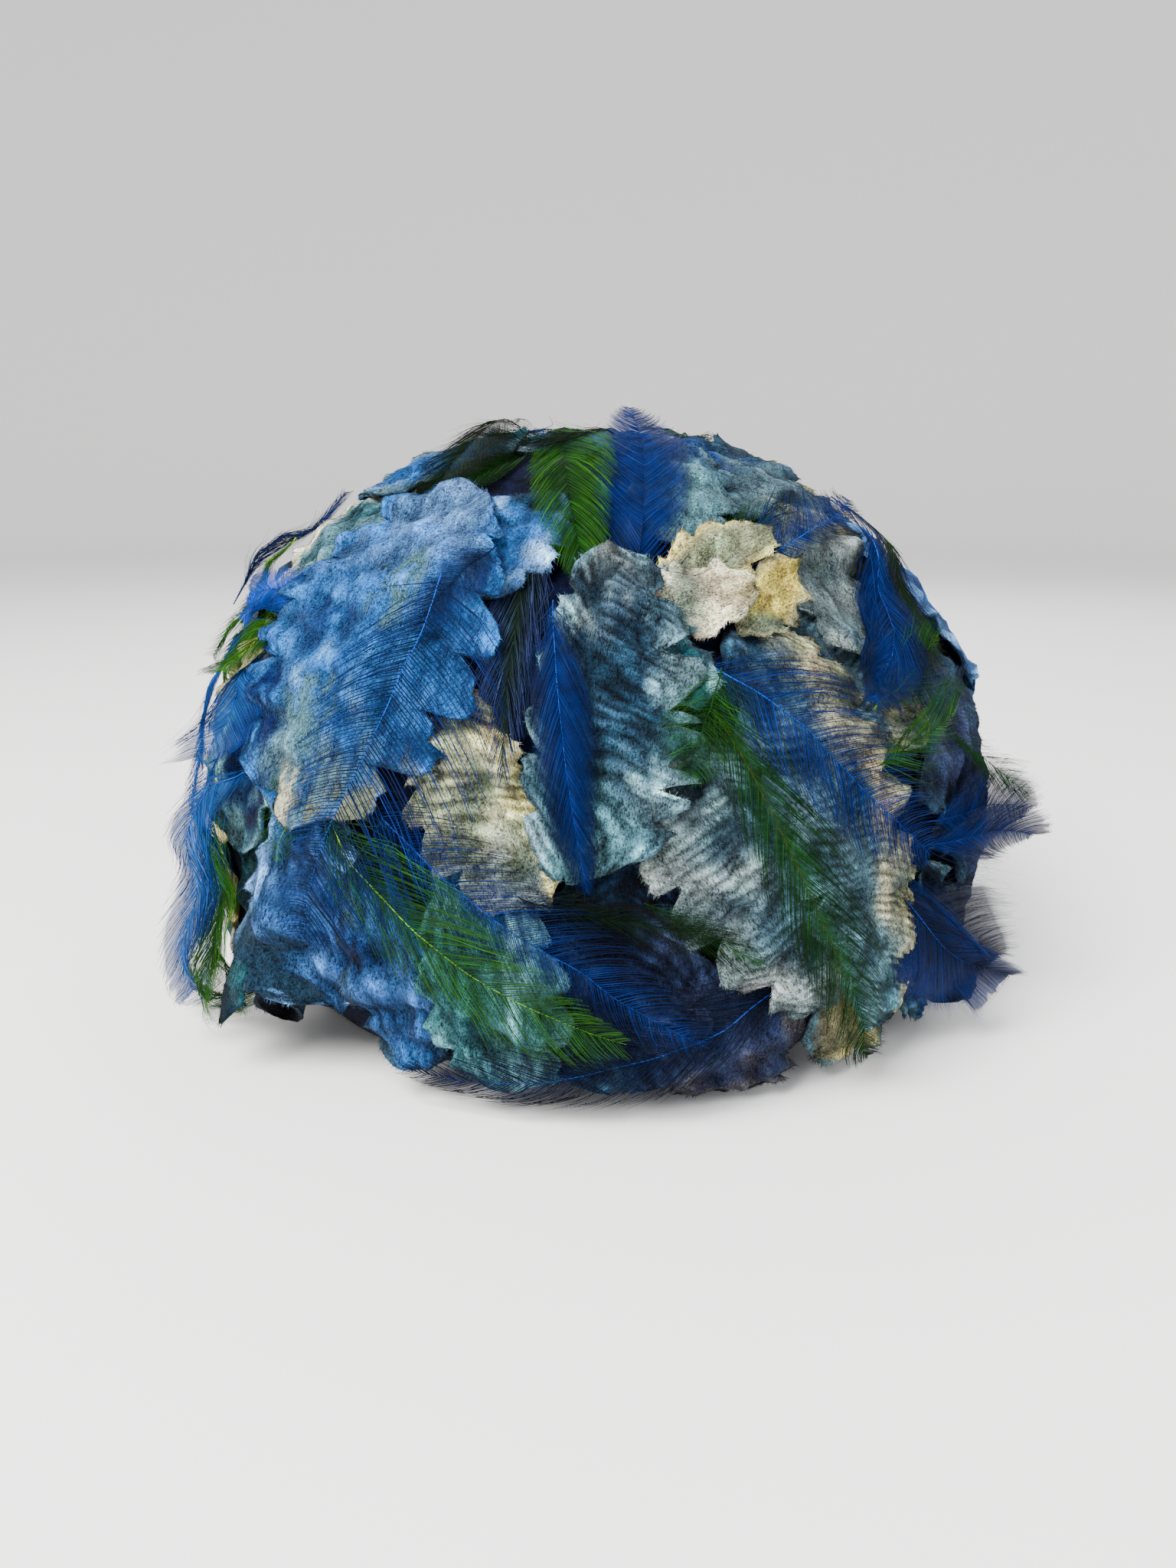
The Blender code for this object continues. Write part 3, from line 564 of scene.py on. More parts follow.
def linear(colour):
    """A linear colour from an sRGB one."""
    colour = np.asarray(colour, dtype=float)
    return np.where(colour <= 0.04045, colour / 12.92, ((colour + 0.055) / 1.055) ** 2.4)


def unit(vectors):
    """Vectors at length one."""
    return vectors / (np.linalg.norm(vectors, axis=-1, keepdims=True) + TINY)


def ease(value, low, high):
    """A soft step from 0 at low to 1 at high."""
    t = np.clip((value - low) / (high - low), 0, 1)
    return t * t * (3 - 2 * t)


def ripples(x, y, wave, seed, count=10):
    """Smooth noise about 0: sine waves in random directions, with lengths near wave.

    They are added up and divided by the root of their number.
    """
    rng = np.random.default_rng(seed)
    turn = rng.uniform(0, 2 * np.pi, count)
    shift = rng.uniform(0, 2 * np.pi, count)
    number = 2 * np.pi / (wave * rng.uniform(0.6, 1.6, count))
    total = 0.0
    for k in range(count):
        total = total + np.sin((x * np.cos(turn[k]) + y * np.sin(turn[k])) * number[k] + shift[k])
    return total / np.sqrt(count)


def cap_radius(direction):
    """Distance from the dome's centre to the cap's outer face along unit directions."""
    drop = np.where(direction[..., 2] >= 0, CROWN_RISE, TUCK_DEPTH)
    scaled = direction / np.stack([np.full_like(drop, HALF_WIDTH), np.full_like(drop, HALF_DEPTH), drop], -1)
    return 1 / np.linalg.norm(scaled, axis=-1)


def lay_on_dome(row, along, across):
    """Unit directions of points along and across a piece, in millimetres from its middle.

    The plane of the piece is rolled onto the dome: distance from the middle becomes an angle.
    """
    az = np.radians(row["azimuth"])
    el = np.radians(row["elevation"])
    middle = np.array([np.sin(az) * np.cos(el), -np.cos(az) * np.cos(el), np.sin(el)])
    east = np.array([np.cos(az), np.sin(az), 0.0])
    north = np.cross(middle, east)
    heading = np.radians(row["heading"])
    ahead = north * np.cos(heading) + east * np.sin(heading)
    side = east * np.cos(heading) - north * np.sin(heading)
    flat = (along[..., None] * ahead + across[..., None] * side) * MM / MAP_RADIUS
    angle = np.linalg.norm(flat, axis=-1, keepdims=True) + TINY
    return middle * np.cos(angle) + flat / angle * np.sin(angle)


def place(directions, reach):
    """Points at a reach from the dome's centre, with low ends turned up so that they clear the floor."""
    points = directions * reach[..., None] + CENTRE
    low = np.minimum(points[..., 2] - HEM_START, 0)
    span = HEM_START - HEM_LOW
    points[..., 2] = np.maximum(points[..., 2], HEM_START) + span * (np.exp(low / span) - 1)
    return points


def cad_heights(node, directions):
    """Heights over the cap of a solid's outermost corners, along the directions it was laid out in."""
    mesh = frame["nodes"][node].data
    points = np.empty(len(mesh.vertices) * 3, np.float32)
    mesh.vertices.foreach_get("co", points)
    points = points.reshape(-1, 3).astype(float)
    span = HEM_START - HEM_LOW
    low = points[:, 2] < HEM_START
    share = np.maximum(1 + (points[low, 2] - HEM_START) / span, TINY)
    points[low, 2] = HEM_START + span * np.log(share)
    points -= CENTRE
    reach = np.linalg.norm(points, axis=1)
    flat = directions.reshape(-1, 3)
    close = flat @ (points / reach[:, None]).T
    same = close >= close.max(axis=1, keepdims=True) - SAME_DIRECTION
    outermost = np.where(same, reach, 0).max(axis=1)
    return (outermost - cap_radius(flat)).reshape(directions.shape[:-1])


def cubic_weights(places, count):
    """Weights of count evenly spread knots at places from 0 to 1: a Catmull-Rom curve, a row a place."""
    at = np.clip(places, 0, 1) * (count - 1)
    first = np.minimum(at.astype(int), count - 2)
    t = at - first
    weights = (
        -t + 2 * t ** 2 - t ** 3,
        2 - 5 * t ** 2 + 3 * t ** 3,
        t + 4 * t ** 2 - 3 * t ** 3,
        t ** 3 - t ** 2,
    )
    matrix = np.zeros((len(places), count + 2))
    line = np.arange(len(places))
    for k, weight in enumerate(weights):
        matrix[line, first + k] += weight / 2
    inner = matrix[:, 1:-1].copy()
    inner[:, 0] += 2 * matrix[:, 0]
    inner[:, 1] -= matrix[:, 0]
    inner[:, -1] += 2 * matrix[:, -1]
    inner[:, -2] -= matrix[:, -1]
    return inner


def sample(grid, i, j):
    """Values of a grid between its corners, at fractional rows and columns."""
    first = np.clip(i.astype(int), 0, grid.shape[0] - 2)
    second = np.clip(j.astype(int), 0, grid.shape[1] - 2)
    fi = i - first
    fj = j - second
    if grid.ndim == 3:
        fi = fi[..., None]
        fj = fj[..., None]
    above = grid[first, second] * (1 - fj) + grid[first, second + 1] * fj
    below = grid[first + 1, second] * (1 - fj) + grid[first + 1, second + 1] * fj
    return above * (1 - fi) + below * fi


def smooth(values):
    """One averaging of a grid with its four neighbours, the edges repeated."""
    padded = np.pad(values, 1, mode="edge")
    around = padded[:-2, 1:-1] + padded[2:, 1:-1] + padded[1:-1, :-2] + padded[1:-1, 2:]
    return (values + around) / 5


def settled(height, turns):
    """Heights raised, some turns over, to the average with their neighbours where it is higher."""
    for _ in range(turns):
        height = np.maximum(height, smooth(height))
    return height


class Ground:
    """How far out the pieces laid so far reach, on a flat map of directions round straight up."""

    def __init__(self):
        """The cap's own reach on a grid of angles from straight up."""
        cells = np.arange(2 * GROUND_CELLS + 1) - GROUND_CELLS
        x, y = np.meshgrid(cells * GROUND_STEP, cells * GROUND_STEP, indexing="ij")
        angle = np.hypot(x, y) + TINY
        flat = np.stack([x / angle * np.sin(angle), y / angle * np.sin(angle), np.cos(angle)], -1)
        self.reach = cap_radius(flat)

    def cells(self, directions):
        """Rows and columns of directions on the map."""
        level = np.hypot(directions[..., 0], directions[..., 1]) + TINY
        angle = np.arctan2(level, directions[..., 2]) / level / GROUND_STEP
        pair = [np.rint(directions[..., k] * angle).astype(int) + GROUND_CELLS for k in (0, 1)]
        return [np.clip(cell, 1, 2 * GROUND_CELLS - 1) for cell in pair]

    def under(self, directions):
        """The largest reach in the cells round each direction."""
        i, j = self.cells(directions)
        return np.max([self.reach[i + a, j + b] for a in (-1, 0, 1) for b in (-1, 0, 1)], axis=0)

    def add(self, directions, reach):
        """Remember a grid's upper face, filled in between its corners."""
        places = []
        for axis, count in enumerate(reach.shape):
            apart = np.linalg.norm(np.diff(directions, axis=axis), axis=-1).mean() / GROUND_STEP
            places.append(np.linspace(0, count - 1, (count - 1) * int(np.ceil(1.6 * apart)) + 1))
        i, j = np.meshgrid(*places, indexing="ij")
        np.maximum.at(self.reach, tuple(self.cells(unit(sample(directions, i, j)))), sample(reach, i, j))


def filled(reach):
    """A map with its small holes filled: the highest neighbour's value, then the lowest one's."""
    for keep in (np.maximum, np.minimum):
        for _ in range(2):
            padded = np.pad(reach, 1, mode="edge")
            reach = keep.reduce([padded[a:a + reach.shape[0], b:b + reach.shape[1]]
                                 for a in range(3) for b in range(3)])
    return reach


def hidden(cloth, directions, reach):
    """Whether a leaf covers each place."""
    return cloth.reach[tuple(cloth.cells(directions))] > reach + COVERED * MM


def clear_ground(ground, directions, reach, gap):
    """A reach raised where it would cut what lies below, with the rise evened out upwards."""
    return reach + settled(np.maximum(ground.under(directions) + gap - reach, 0), CLEAR_TURNS)


def leaf_plane(row, share, column, fine=True):
    """Places on a leaf's plane: lobes swell the edge, and scallops and slits cut it.

    The half width swells as a power of a sine of the share. A lobe is widest halfway between two
    notches, and leans towards the tip. The ends bulge a little, so that they are round.
    """
    early = np.log(0.5) / np.log(row["belly"])
    swell = LEAF_END + (1 - LEAF_END) * np.sin(np.pi * share ** early) ** LEAF_FULLNESS
    half = half_width(row, column)
    edge = np.abs(column) ** LOBE_EDGE_POWER
    if not fine:
        lobe = np.where(np.rint(share * 2 * row["lobes"]).astype(int) % 2 == 1, 1.0, -1.0)
        across = column * half * swell * (1 + LOBE_DEPTH * lobe * edge)
        return (share - 0.5 + LOBE_LEAN * lobe * edge) * row["length"], across
    lobe = 2 * np.abs(np.sin(np.pi * row["lobes"] * share)) ** LOBE_ROUNDNESS - 1
    shift = row["layer"] * 1.7 + np.where(column < 0, 0.9, 0.0)
    count = row["length"] / row["scallop"]
    bend = share + SCALLOP_BEND * np.sin(2 * np.pi * (1.7 * share + shift))
    scallop = np.abs(np.sin(np.pi * (count * bend + shift))) ** SCALLOP_ROUNDNESS - 0.6
    fray = ripples(share * row["length"], 9.0 * np.sign(column), FRAY_WAVE, seed_of(row) + 4)
    to_notch = (share * row["lobes"] - np.rint(share * row["lobes"])) * row["length"] / row["lobes"]
    notch = 1 - NOTCH_DEPTH * edge * np.exp(-(to_notch / NOTCH_WIDTH) ** 2)
    width = half * swell * (1 + LOBE_DEPTH * lobe * edge) * notch
    width = width + (SCALLOP_DEPTH * row["scallop"] * scallop + FRAY_DEPTH * fray) * edge ** 2
    for side, at, depth in SLITS.get(row["name"], ()):
        cut = np.exp(-((share - at) * row["length"] / SLIT_WIDTH) ** 2) * depth * edge
        width = width * (1 - np.where(column * side > 0, cut, 0))
    bulge = END_BULGE * half * (1 - column ** 2)
    ends = bulge * (ease(share, 0.94, 1.0) - ease(share, 0.06, 0.0))
    along = (share - 0.5 + LOBE_LEAN * lobe * edge) * row["length"] + ends
    return along, column * width


def leaf_ribs(row, column, along, across):
    """Ribs as a wave from -1 to 1 that fades out at the vein and at the edge.

    It is a sine of the distance along less slant times the distance across, or of the column where
    the ribs run along the leaf, and it wanders a little.
    """
    if not row["ribs"]:
        return 0 * along
    wander = RIB_WANDER * ripples(along, across, RIB_WANDER_WAVE, seed_of(row) + 2)
    if row["slant"]:
        phase = (along - row["slant"] * np.abs(across)) / row["ribs"]
    else:
        phase = column * 0.5 * (row["left"] + row["right"]) / row["ribs"]
    fade = ease(np.abs(across), 0.5, 3.0) * (1 - 0.5 * np.abs(column) ** 3)
    return fade * np.sin(2 * np.pi * (phase + wander))


def leaf_relief(row, column, along, across):
    """Height of a leaf's face over its solid, in millimetres.

    It sums a crumple, dimples, ruffles that grow towards the edge, a pressed vein along the middle,
    and the ribs.
    """
    seed = seed_of(row)
    relief = CRUMPLE_RELIEF * ripples(along, across, CRUMPLE_WAVE, seed)
    relief = relief + DIMPLE_RELIEF * ripples(along, across, DIMPLE_WAVE, seed + 3)
    wave = 2 * np.pi * along / RUFFLE_WAVE + np.sign(column) * 1.3 + seed
    ruffle = np.sin(wave + ripples(along, across, RUFFLE_WANDER_WAVE, seed + 1))
    relief = relief + RUFFLE_RELIEF * np.abs(column) ** 3 * ruffle
    relief = relief - VEIN_DEPTH * np.exp(-(across / VEIN_WIDTH) ** 2)
    return relief + RIB_RELIEF * min(row["ribs"] / WIDE_RIB, 1) * leaf_ribs(row, column, along, across)


def leaf_paint(row, share, column, along, across, relief):
    """Linear colours of a leaf: the centre colour, run into those of its foot, tip and rim.

    Painted shade darkens ribs and hollows, painted light brightens what stands up, and soft streaks run along the
    leaf.
    """
    seed = seed_of(row) + 5
    wander = ripples(along, across, PATCH_WAVE, seed)
    streak = ripples(along * 0.28, across, STREAK_WAVE, seed + 1)
    fine = ripples(along * 0.5, across, FINE_WAVE, seed + 2)
    edge = np.abs(column) if row["side"] == 0 else row["side"] * column
    rough_share = share + 0.10 * wander + 0.05 * streak
    rough_edge = edge + 0.14 * wander + 0.06 * streak
    tint = np.ones(share.shape + (3,)) * linear(VELVETS[row["centre"]])
    for part, place_at, span in (
        ("foot", rough_share, FOOT_REACH),
        ("tip", rough_share, TIP_REACH),
        ("rim", rough_edge, RIM_REACH if row["side"] == 0 else ONE_RIM_REACH),
    ):
        amount = ease(place_at, *span)[..., None]
        tint = tint * (1 - amount) + linear(VELVETS[row[part]]) * amount
    shade = PATCH_SHADE * wander + STREAK_SHADE * streak + FINE_SHADE * fine
    # Painted shade in hollows and rib grooves, and painted light on what stands up.
    shade = shade + HOLLOW_PAINTED_SHADE * relief + RIB_PAINTED_SHADE * leaf_ribs(row, column, along, across)
    hue = np.stack([0.10 * wander, 0.04 * streak, -0.05 * wander], -1)
    tint = tint * np.exp(shade[..., None] + hue)
    for part, at, beside, radius, stain in SPOTS:
        if part == row["name"]:
            off = np.hypot(along / row["length"] + 0.5 - at, (column - beside) * 0.5) * row["length"]
            off = off + radius * (0.35 * wander + 0.30 * streak + 0.25 * fine)
            spot = ease(off, radius * 1.5, radius * 0.4)[..., None]
            tint = tint * (1 - spot) + linear(VELVETS[stain]) * spot
    return np.clip(tint, 0.002, 0.95)


def far_side(row):
    """Whether a leaf lies on the large plain front, where its mesh and pile are coarser."""
    return any(part in row["name"] for part in ("front", "side_low", "crown"))


def lay_leaf(row, ground, look):
    """A leaf's fine face and back, its colours and its plane places."""
    width = row["left"] + row["right"]
    step = look.front_step if far_side(row) else look.leaf_step
    count_i = max(int(row["length"] * MM / step), LEAST_ROWS)
    count_j = max(int(width * MM / step / CELL_STRETCH), LEAST_COLUMNS)
    even = np.linspace(-1, 1, count_j + 1)
    share = np.linspace(0, 1, count_i + 1)
    column = (1 - EDGE_CROWDING) * even + EDGE_CROWDING * np.sin(np.pi / 2 * even)
    s, c = np.meshgrid(share, column, indexing="ij")
    along, across = leaf_plane(row, s, c)
    directions = lay_on_dome(row, along, across)
    relief = leaf_relief(row, c, along, across)
    tint = leaf_paint(row, s, c, along, across, relief)
    relief = relief * MM
    half = half_width(row, c)
    inside = np.minimum(half * (1 - np.abs(c)) * 0.8, np.minimum(s, 1 - s) * row["length"])
    rounding = np.sqrt(1 - (1 - np.clip(inside / EDGE_ROUND, 0, 1)) ** 2)
    wall = (WALL_EDGE + (WALL - WALL_EDGE) * rounding) * MM
    base = cap_radius(directions)
    if row["name"] in frame["nodes"]:
        steps = 2 * row["lobes"]
        cs, cc = np.meshgrid(np.linspace(0, 1, steps + 1), LEAF_COLUMNS, indexing="ij")
        solid = cad_heights(row["name"], lay_on_dome(row, *leaf_plane(row, cs, cc, fine=False)))
        rows_in = cubic_weights(share, steps + 1)
        columns_in = cubic_weights((column + 1) / 2, len(LEAF_COLUMNS))
        height = rows_in @ solid @ columns_in.T
    else:
        height = settled(ground.under(directions) - base + (LAY_GAP + WALL) * MM, LEAF_TURNS)
    reach = clear_ground(ground, directions, base + height + relief - wall, LAY_GAP * MM) + wall
    ground.add(directions, reach)
    return {
        "face": place(directions, reach), "back": place(directions, reach - wall),
        "tint": tint, "plane": np.stack([along, across], -1), "seed": seed_of(row),
        "directions": directions, "reach": reach,
    }


def vane(share):
    """A feather's half width along it, from a narrow quill to a slim tip."""
    return QUILL_END + (1 - QUILL_END) * np.sin(np.pi * np.clip(share, 0, 1) ** VANE_EARLY) ** VANE_FULLNESS


def bow(row, share):
    """How far the quill bows to the side."""
    return row["bend"] * (4 * share * (1 - share) - 0.5)


def feather_plane(row, share, column, fine=True):
    """Places on a feather's plane. The solid's rows alternate in and out as cut strips do."""
    half = half_width(row, column)
    edge = np.abs(column)
    strip = 0.0
    if not fine:
        strip = np.where(np.rint(share * FEATHER_ROWS).astype(int) % 2 == 1, 1.0, -1.0)
    across = column * half * vane(share) * (1 + STRIP_DEPTH * strip * edge) + bow(row, share)
    return (share - 0.5 + STRIP_LEAN * strip * edge + BARB_LEAN * edge * share) * row["length"], across


def barb_curves(row, foot, side, steps, untidy, rng):
    """Places on the plane of barbs that leave the quill at foot shares, a row of steps + 1 each.

    A barb starts at the feather's angle off the quill and bends towards the tip, and its length is
    such that its end meets the vane's outline. Neighbours lean alike, and part here and there.
    """
    length = row["length"]
    half = row["left"] if side < 0 else row["right"]
    clump = ripples(foot * length, 0 * foot + side, CLUMP_WAVE, seed_of(row) + 20 + side)
    stray = STRAY_LEAN * rng.normal(size=foot.shape)
    lean = np.radians(row["angle"] + untidy * (CLUMP_LEAN * clump + stray))
    fluff = fluff_at(row, foot)
    lean = lean + fluff * np.radians(FLUFF_LEAN) * rng.uniform(-0.3, 1.0, foot.shape) * (untidy > 0)
    lean = np.clip(lean, 0.15, 1.9)
    turn = np.arctan2(row["bend"] * (4 - 8 * foot), length)
    t = np.linspace(0, 1, steps + 1)
    angle = lean[:, None] * (1 - BARB_BEND * t[None, :] ** 1.2)
    waves = rng.uniform(0.5, 1.3, foot.shape)[:, None]
    shift = rng.uniform(0, 1, foot.shape)[:, None]
    wave = untidy * BARB_WAVE * np.sin(2 * np.pi * (t[None, :] * waves + shift))
    shift = rng.uniform(0, 1, foot.shape)[:, None]
    curl = fluff[:, None] * (untidy > 0) * BARB_CURL * np.sin(2 * np.pi * (1.3 * t[None, :] + shift))
    angle = turn[:, None] + side * (angle + wave * t + curl * t)
    middle = 0.5 * (angle[:, 1:] + angle[:, :-1])
    start = np.zeros((len(foot), 1))
    ahead, aside = (np.concatenate([start, np.cumsum(part(middle), axis=1)], axis=1) / steps
                    for part in (np.cos, np.sin))
    run = np.full(foot.shape, half * 1.0)
    for _ in range(6):
        end = foot + run * ahead[:, -1] / length
        run = 0.5 * run + 0.5 * half * vane(np.clip(end, 0, 1)) / np.maximum(np.abs(aside[:, -1]), 0.25)
    room = (1 + TIP_ROOM - foot) * length / np.maximum(ahead[:, -1], 0.3)
    run = np.minimum(run, room) * (1 + untidy * 0.06 * rng.normal(size=foot.shape) + untidy * 0.05 * clump)
    along = (foot[:, None] - 0.5) * length + run[:, None] * ahead
    across = bow(row, foot)[:, None] + run[:, None] * aside
    return along, across, t, run


def lay_feather(row, ground, look):
    """A feather: its quill, its barbs and the thin vane between them, laid over what is below.

    A barb lies over the feather's height by an even lift, one of its own, and one that grows as the
    square of its length. The vane fades as a power of how near it is to the barb's end.
    """
    rng = np.random.default_rng(seed_of(row) + 7)
    share = np.linspace(0, 1, VANE_ROWS)
    column = np.linspace(-1, 1, VANE_COLUMNS)
    s, c = np.meshgrid(share, column, indexing="ij")
    directions = lay_on_dome(row, *feather_plane(row, s, c))
    base = cap_radius(directions)
    if row["name"] in frame["nodes"]:
        cs, cc = np.meshgrid(np.linspace(0, 1, FEATHER_ROWS + 1), FEATHER_COLUMNS, indexing="ij")
        solid = cad_heights(row["name"], lay_on_dome(row, *feather_plane(row, cs, cc, fine=False)))
        height = cubic_weights(share, FEATHER_ROWS + 1) @ solid @ cubic_weights((column + 1) / 2, 3).T
    else:
        height = settled(ground.under(directions) - base + LAY_GAP * MM, TUFT_TURNS)
        resting = height
        raised = abs(row["tilt"]) * (0.5 + 0.5 * np.sign(row["tilt"]) * c) * s
        height = height + (row["lift"] * s ** 2 + raised) * MM
    height = clear_ground(ground, directions, base + height, LAY_GAP * MM) - base
    if row["name"] in frame["nodes"]:
        resting = height

    def in_space(along, across, lift):
        """Directions and points of places on the plane, lifted over the feather's own height."""
        p = np.clip(along / row["length"] + 0.5, 0, 1)
        off = across - bow(row, p)
        half = half_width(row, off) * vane(p)
        q = np.clip(off / half, -1, 1)
        spot = lay_on_dome(row, along, across)
        reach = cap_radius(spot) + sample(height, p * (len(share) - 1), (q + 1) / 2 * (len(column) - 1))
        reach = np.maximum(reach, ground.under(spot) + LAY_GAP * MM)
        return spot, place(spot, reach + lift * MM)

    count = int(row["length"] * QUILL_SHARE / row["spacing"] / look.barb_thinning)
    inner = linear(DYES[row["inner"]])
    outer = linear(DYES[row["outer"]])
    thin = 1 - ease(row["veil"], *THIN_VEIL)
    barbs = []
    veils = []
    for side in (-1, 1):
        foot = FIRST_BARB + BARB_SPAN * (np.arange(count) + rng.uniform(-0.3, 0.3, count)) / count
        foot = np.clip(foot, 0.01, 0.99)
        along, across, t, run = barb_curves(row, foot, side, look.barb_steps, row["loose"], rng)
        fluff = fluff_at(row, foot)
        tip_lift = rng.gamma(1.2, 0.3, count) * row["loose"] + fluff * rng.uniform(0, 3.0, count)
        fan = row["loose"] * np.maximum(rng.normal(0.01, 0.07, count), 0) * run
        lift = BARB_LIFT + 0.40 * rng.random(count)[:, None] + (tip_lift + fan)[:, None] * t ** 2
        path = in_space(along, across, lift)[1]
        radius = look.barb_radius * (1 - BARB_TAPER * t ** 1.5)[None, :]
        radius = radius * rng.uniform(0.75, 1.2, count)[:, None] * row["spacing"] / BARB_SPACING
        blend = np.clip(t[None, :, None] * 1.1 + 0.15 * rng.normal(size=(count, 1, 1)), 0, 1)
        shade = np.exp(rng.normal(0, 0.38, (count, 1, 1)))
        barbs.append((path, radius, (inner * (1 - blend) + outer * blend) * shade))
        feet = np.linspace(0.04, 0.97, VEIL_ROWS)
        along, across, t, run = barb_curves(row, feet, side, VEIL_STEPS, 0.0, rng)
        veil = in_space(along, across, VANE_LIFT + 0 * along)[1]
        patch = 1 - thin * (0.25 - 0.35 * ripples(along, across, 6.0, seed_of(row) + 31))
        fall = (1 - t[None, :]) ** (0.12 + 1.1 * thin)
        fade = row["veil"] * patch * fall * ease(feet, 0.0, 0.12)[:, None]
        tone = inner * (1 - t[None, :, None]) + outer * t[None, :, None] + 0 * veil
        veils.append((veil, np.clip(fade, 0, 0.97), tone * 0.9, side))
    s = np.linspace(0, 1, QUILL_POINTS)
    quill = in_space((s - 0.5) * row["length"], bow(row, s), QUILL_LIFT + 0 * s)[1]
    ground.add(directions, base + resting)
    return {"quill": quill, "barbs": barbs, "veils": veils, "seed": seed_of(row)}


def lay_roll(row, ground, look):
    """A leaf end rolled into a tube: a pinched oval section, tucked in above and open below.

    The oval's width and height grow from the tucked end to the mouth as a sine of the share.
    """
    def grid(share, sides, wall):
        """Directions round the tube at shares of its length, their heights over its axis, and angles."""
        angle = np.linspace(0, 2 * np.pi, sides, endpoint=False)[None, :]
        waist = 1 - row["pinch"] * np.exp(-((angle - PINCH_AT) / PINCH_SPREAD) ** 2)
        grow = TUCKED_END + (1 - TUCKED_END) * np.sin(np.pi / 2 * share[:, None])
        near = np.sin(angle + np.radians(row["azimuth"]))
        along = (share[:, None] - 0.5) * row["length"] - row["slant"] * share[:, None] * near
        across = (row["width"] / 2 * grow - wall) * np.cos(angle)
        rise = (row["height"] / 2 * grow - wall) * np.sin(angle) * waist
        return lay_on_dome(row, along, across), rise * MM, angle

    coarse = np.linspace(1, 0, TUBE_ROWS)
    directions, rise, angle = grid(coarse, TUBE_SIDES, 0.0)
    top = (np.sin(angle[0]) > 0.2) & (np.sin(angle[0] + np.radians(row["azimuth"])) > 0.2)
    if row["name"] in frame["nodes"]:
        axis = (cad_heights(row["name"], directions) - rise)[:, top].mean(axis=1)
    else:
        axis = (ground.under(directions) - cap_radius(directions)).max(axis=1) + row["height"] / 2 * MM
    share = np.linspace(1, 0, ROLL_ROWS)
    axis = cubic_weights(1 - share, TUBE_ROWS) @ axis
    faces = []
    for wall in (ROLL_WALL, 0.0):
        directions, rise, angle = grid(share, ROLL_SIDES, wall)
        reach = cap_radius(directions) + axis[:, None] + rise
        rough = 0.12 * MM * ripples(share[:, None] * row["length"] + 0 * angle, angle * 6, 3.0, 3)
        faces.append(place(directions, reach + rough))
    ground.add(directions, reach)
    inside, face = faces
    return {
        "face": face, "inside": inside[:-2], "plane": face[..., [0, 2]] / MM,
        "tint": np.ones(face.shape) * linear(VELVETS[row["outside"]]), "seed": seed_of(row),
        "directions": directions, "reach": reach,
    }


LEAF_TABLE = rows(LEAF_FIELDS, LEAVES + SMALL_LEAVES)
FEATHER_TABLE = rows(FEATHER_FIELDS, FEATHERS + TUFTS)
ROLL_TABLE = rows(ROLL_FIELDS, ROLLS)
LAID = {}


def laid(name):
    """A piece as it lies, after laying every piece from the lowest layer to the top one.

    The name cloth gives the map of what the leaves alone cover.
    """
    if not LAID:
        look = bpy.context.scene.hat_look
        ground = Ground()
        LAID["cloth"] = Ground()
        makers = [(row, lay_leaf) for row in LEAF_TABLE]
        makers += [(row, lay_feather) for row in FEATHER_TABLE]
        makers += [(row, lay_roll) for row in ROLL_TABLE]
        for row, maker in sorted(makers, key=lambda pair: pair[0]["layer"]):
            LAID[row["name"]] = maker(row, ground, look)
            if maker is lay_leaf:
                LAID["cloth"].add(LAID[row["name"]]["directions"], LAID[row["name"]]["reach"])
        LAID["cloth"].reach = filled(LAID["cloth"].reach)
    return LAID[name]


def add_object(name, data):
    """A new object in the scene's own collection."""
    made = bpy.data.objects.new(name, data)
    bpy.context.scene.collection.objects.link(made)
    return made


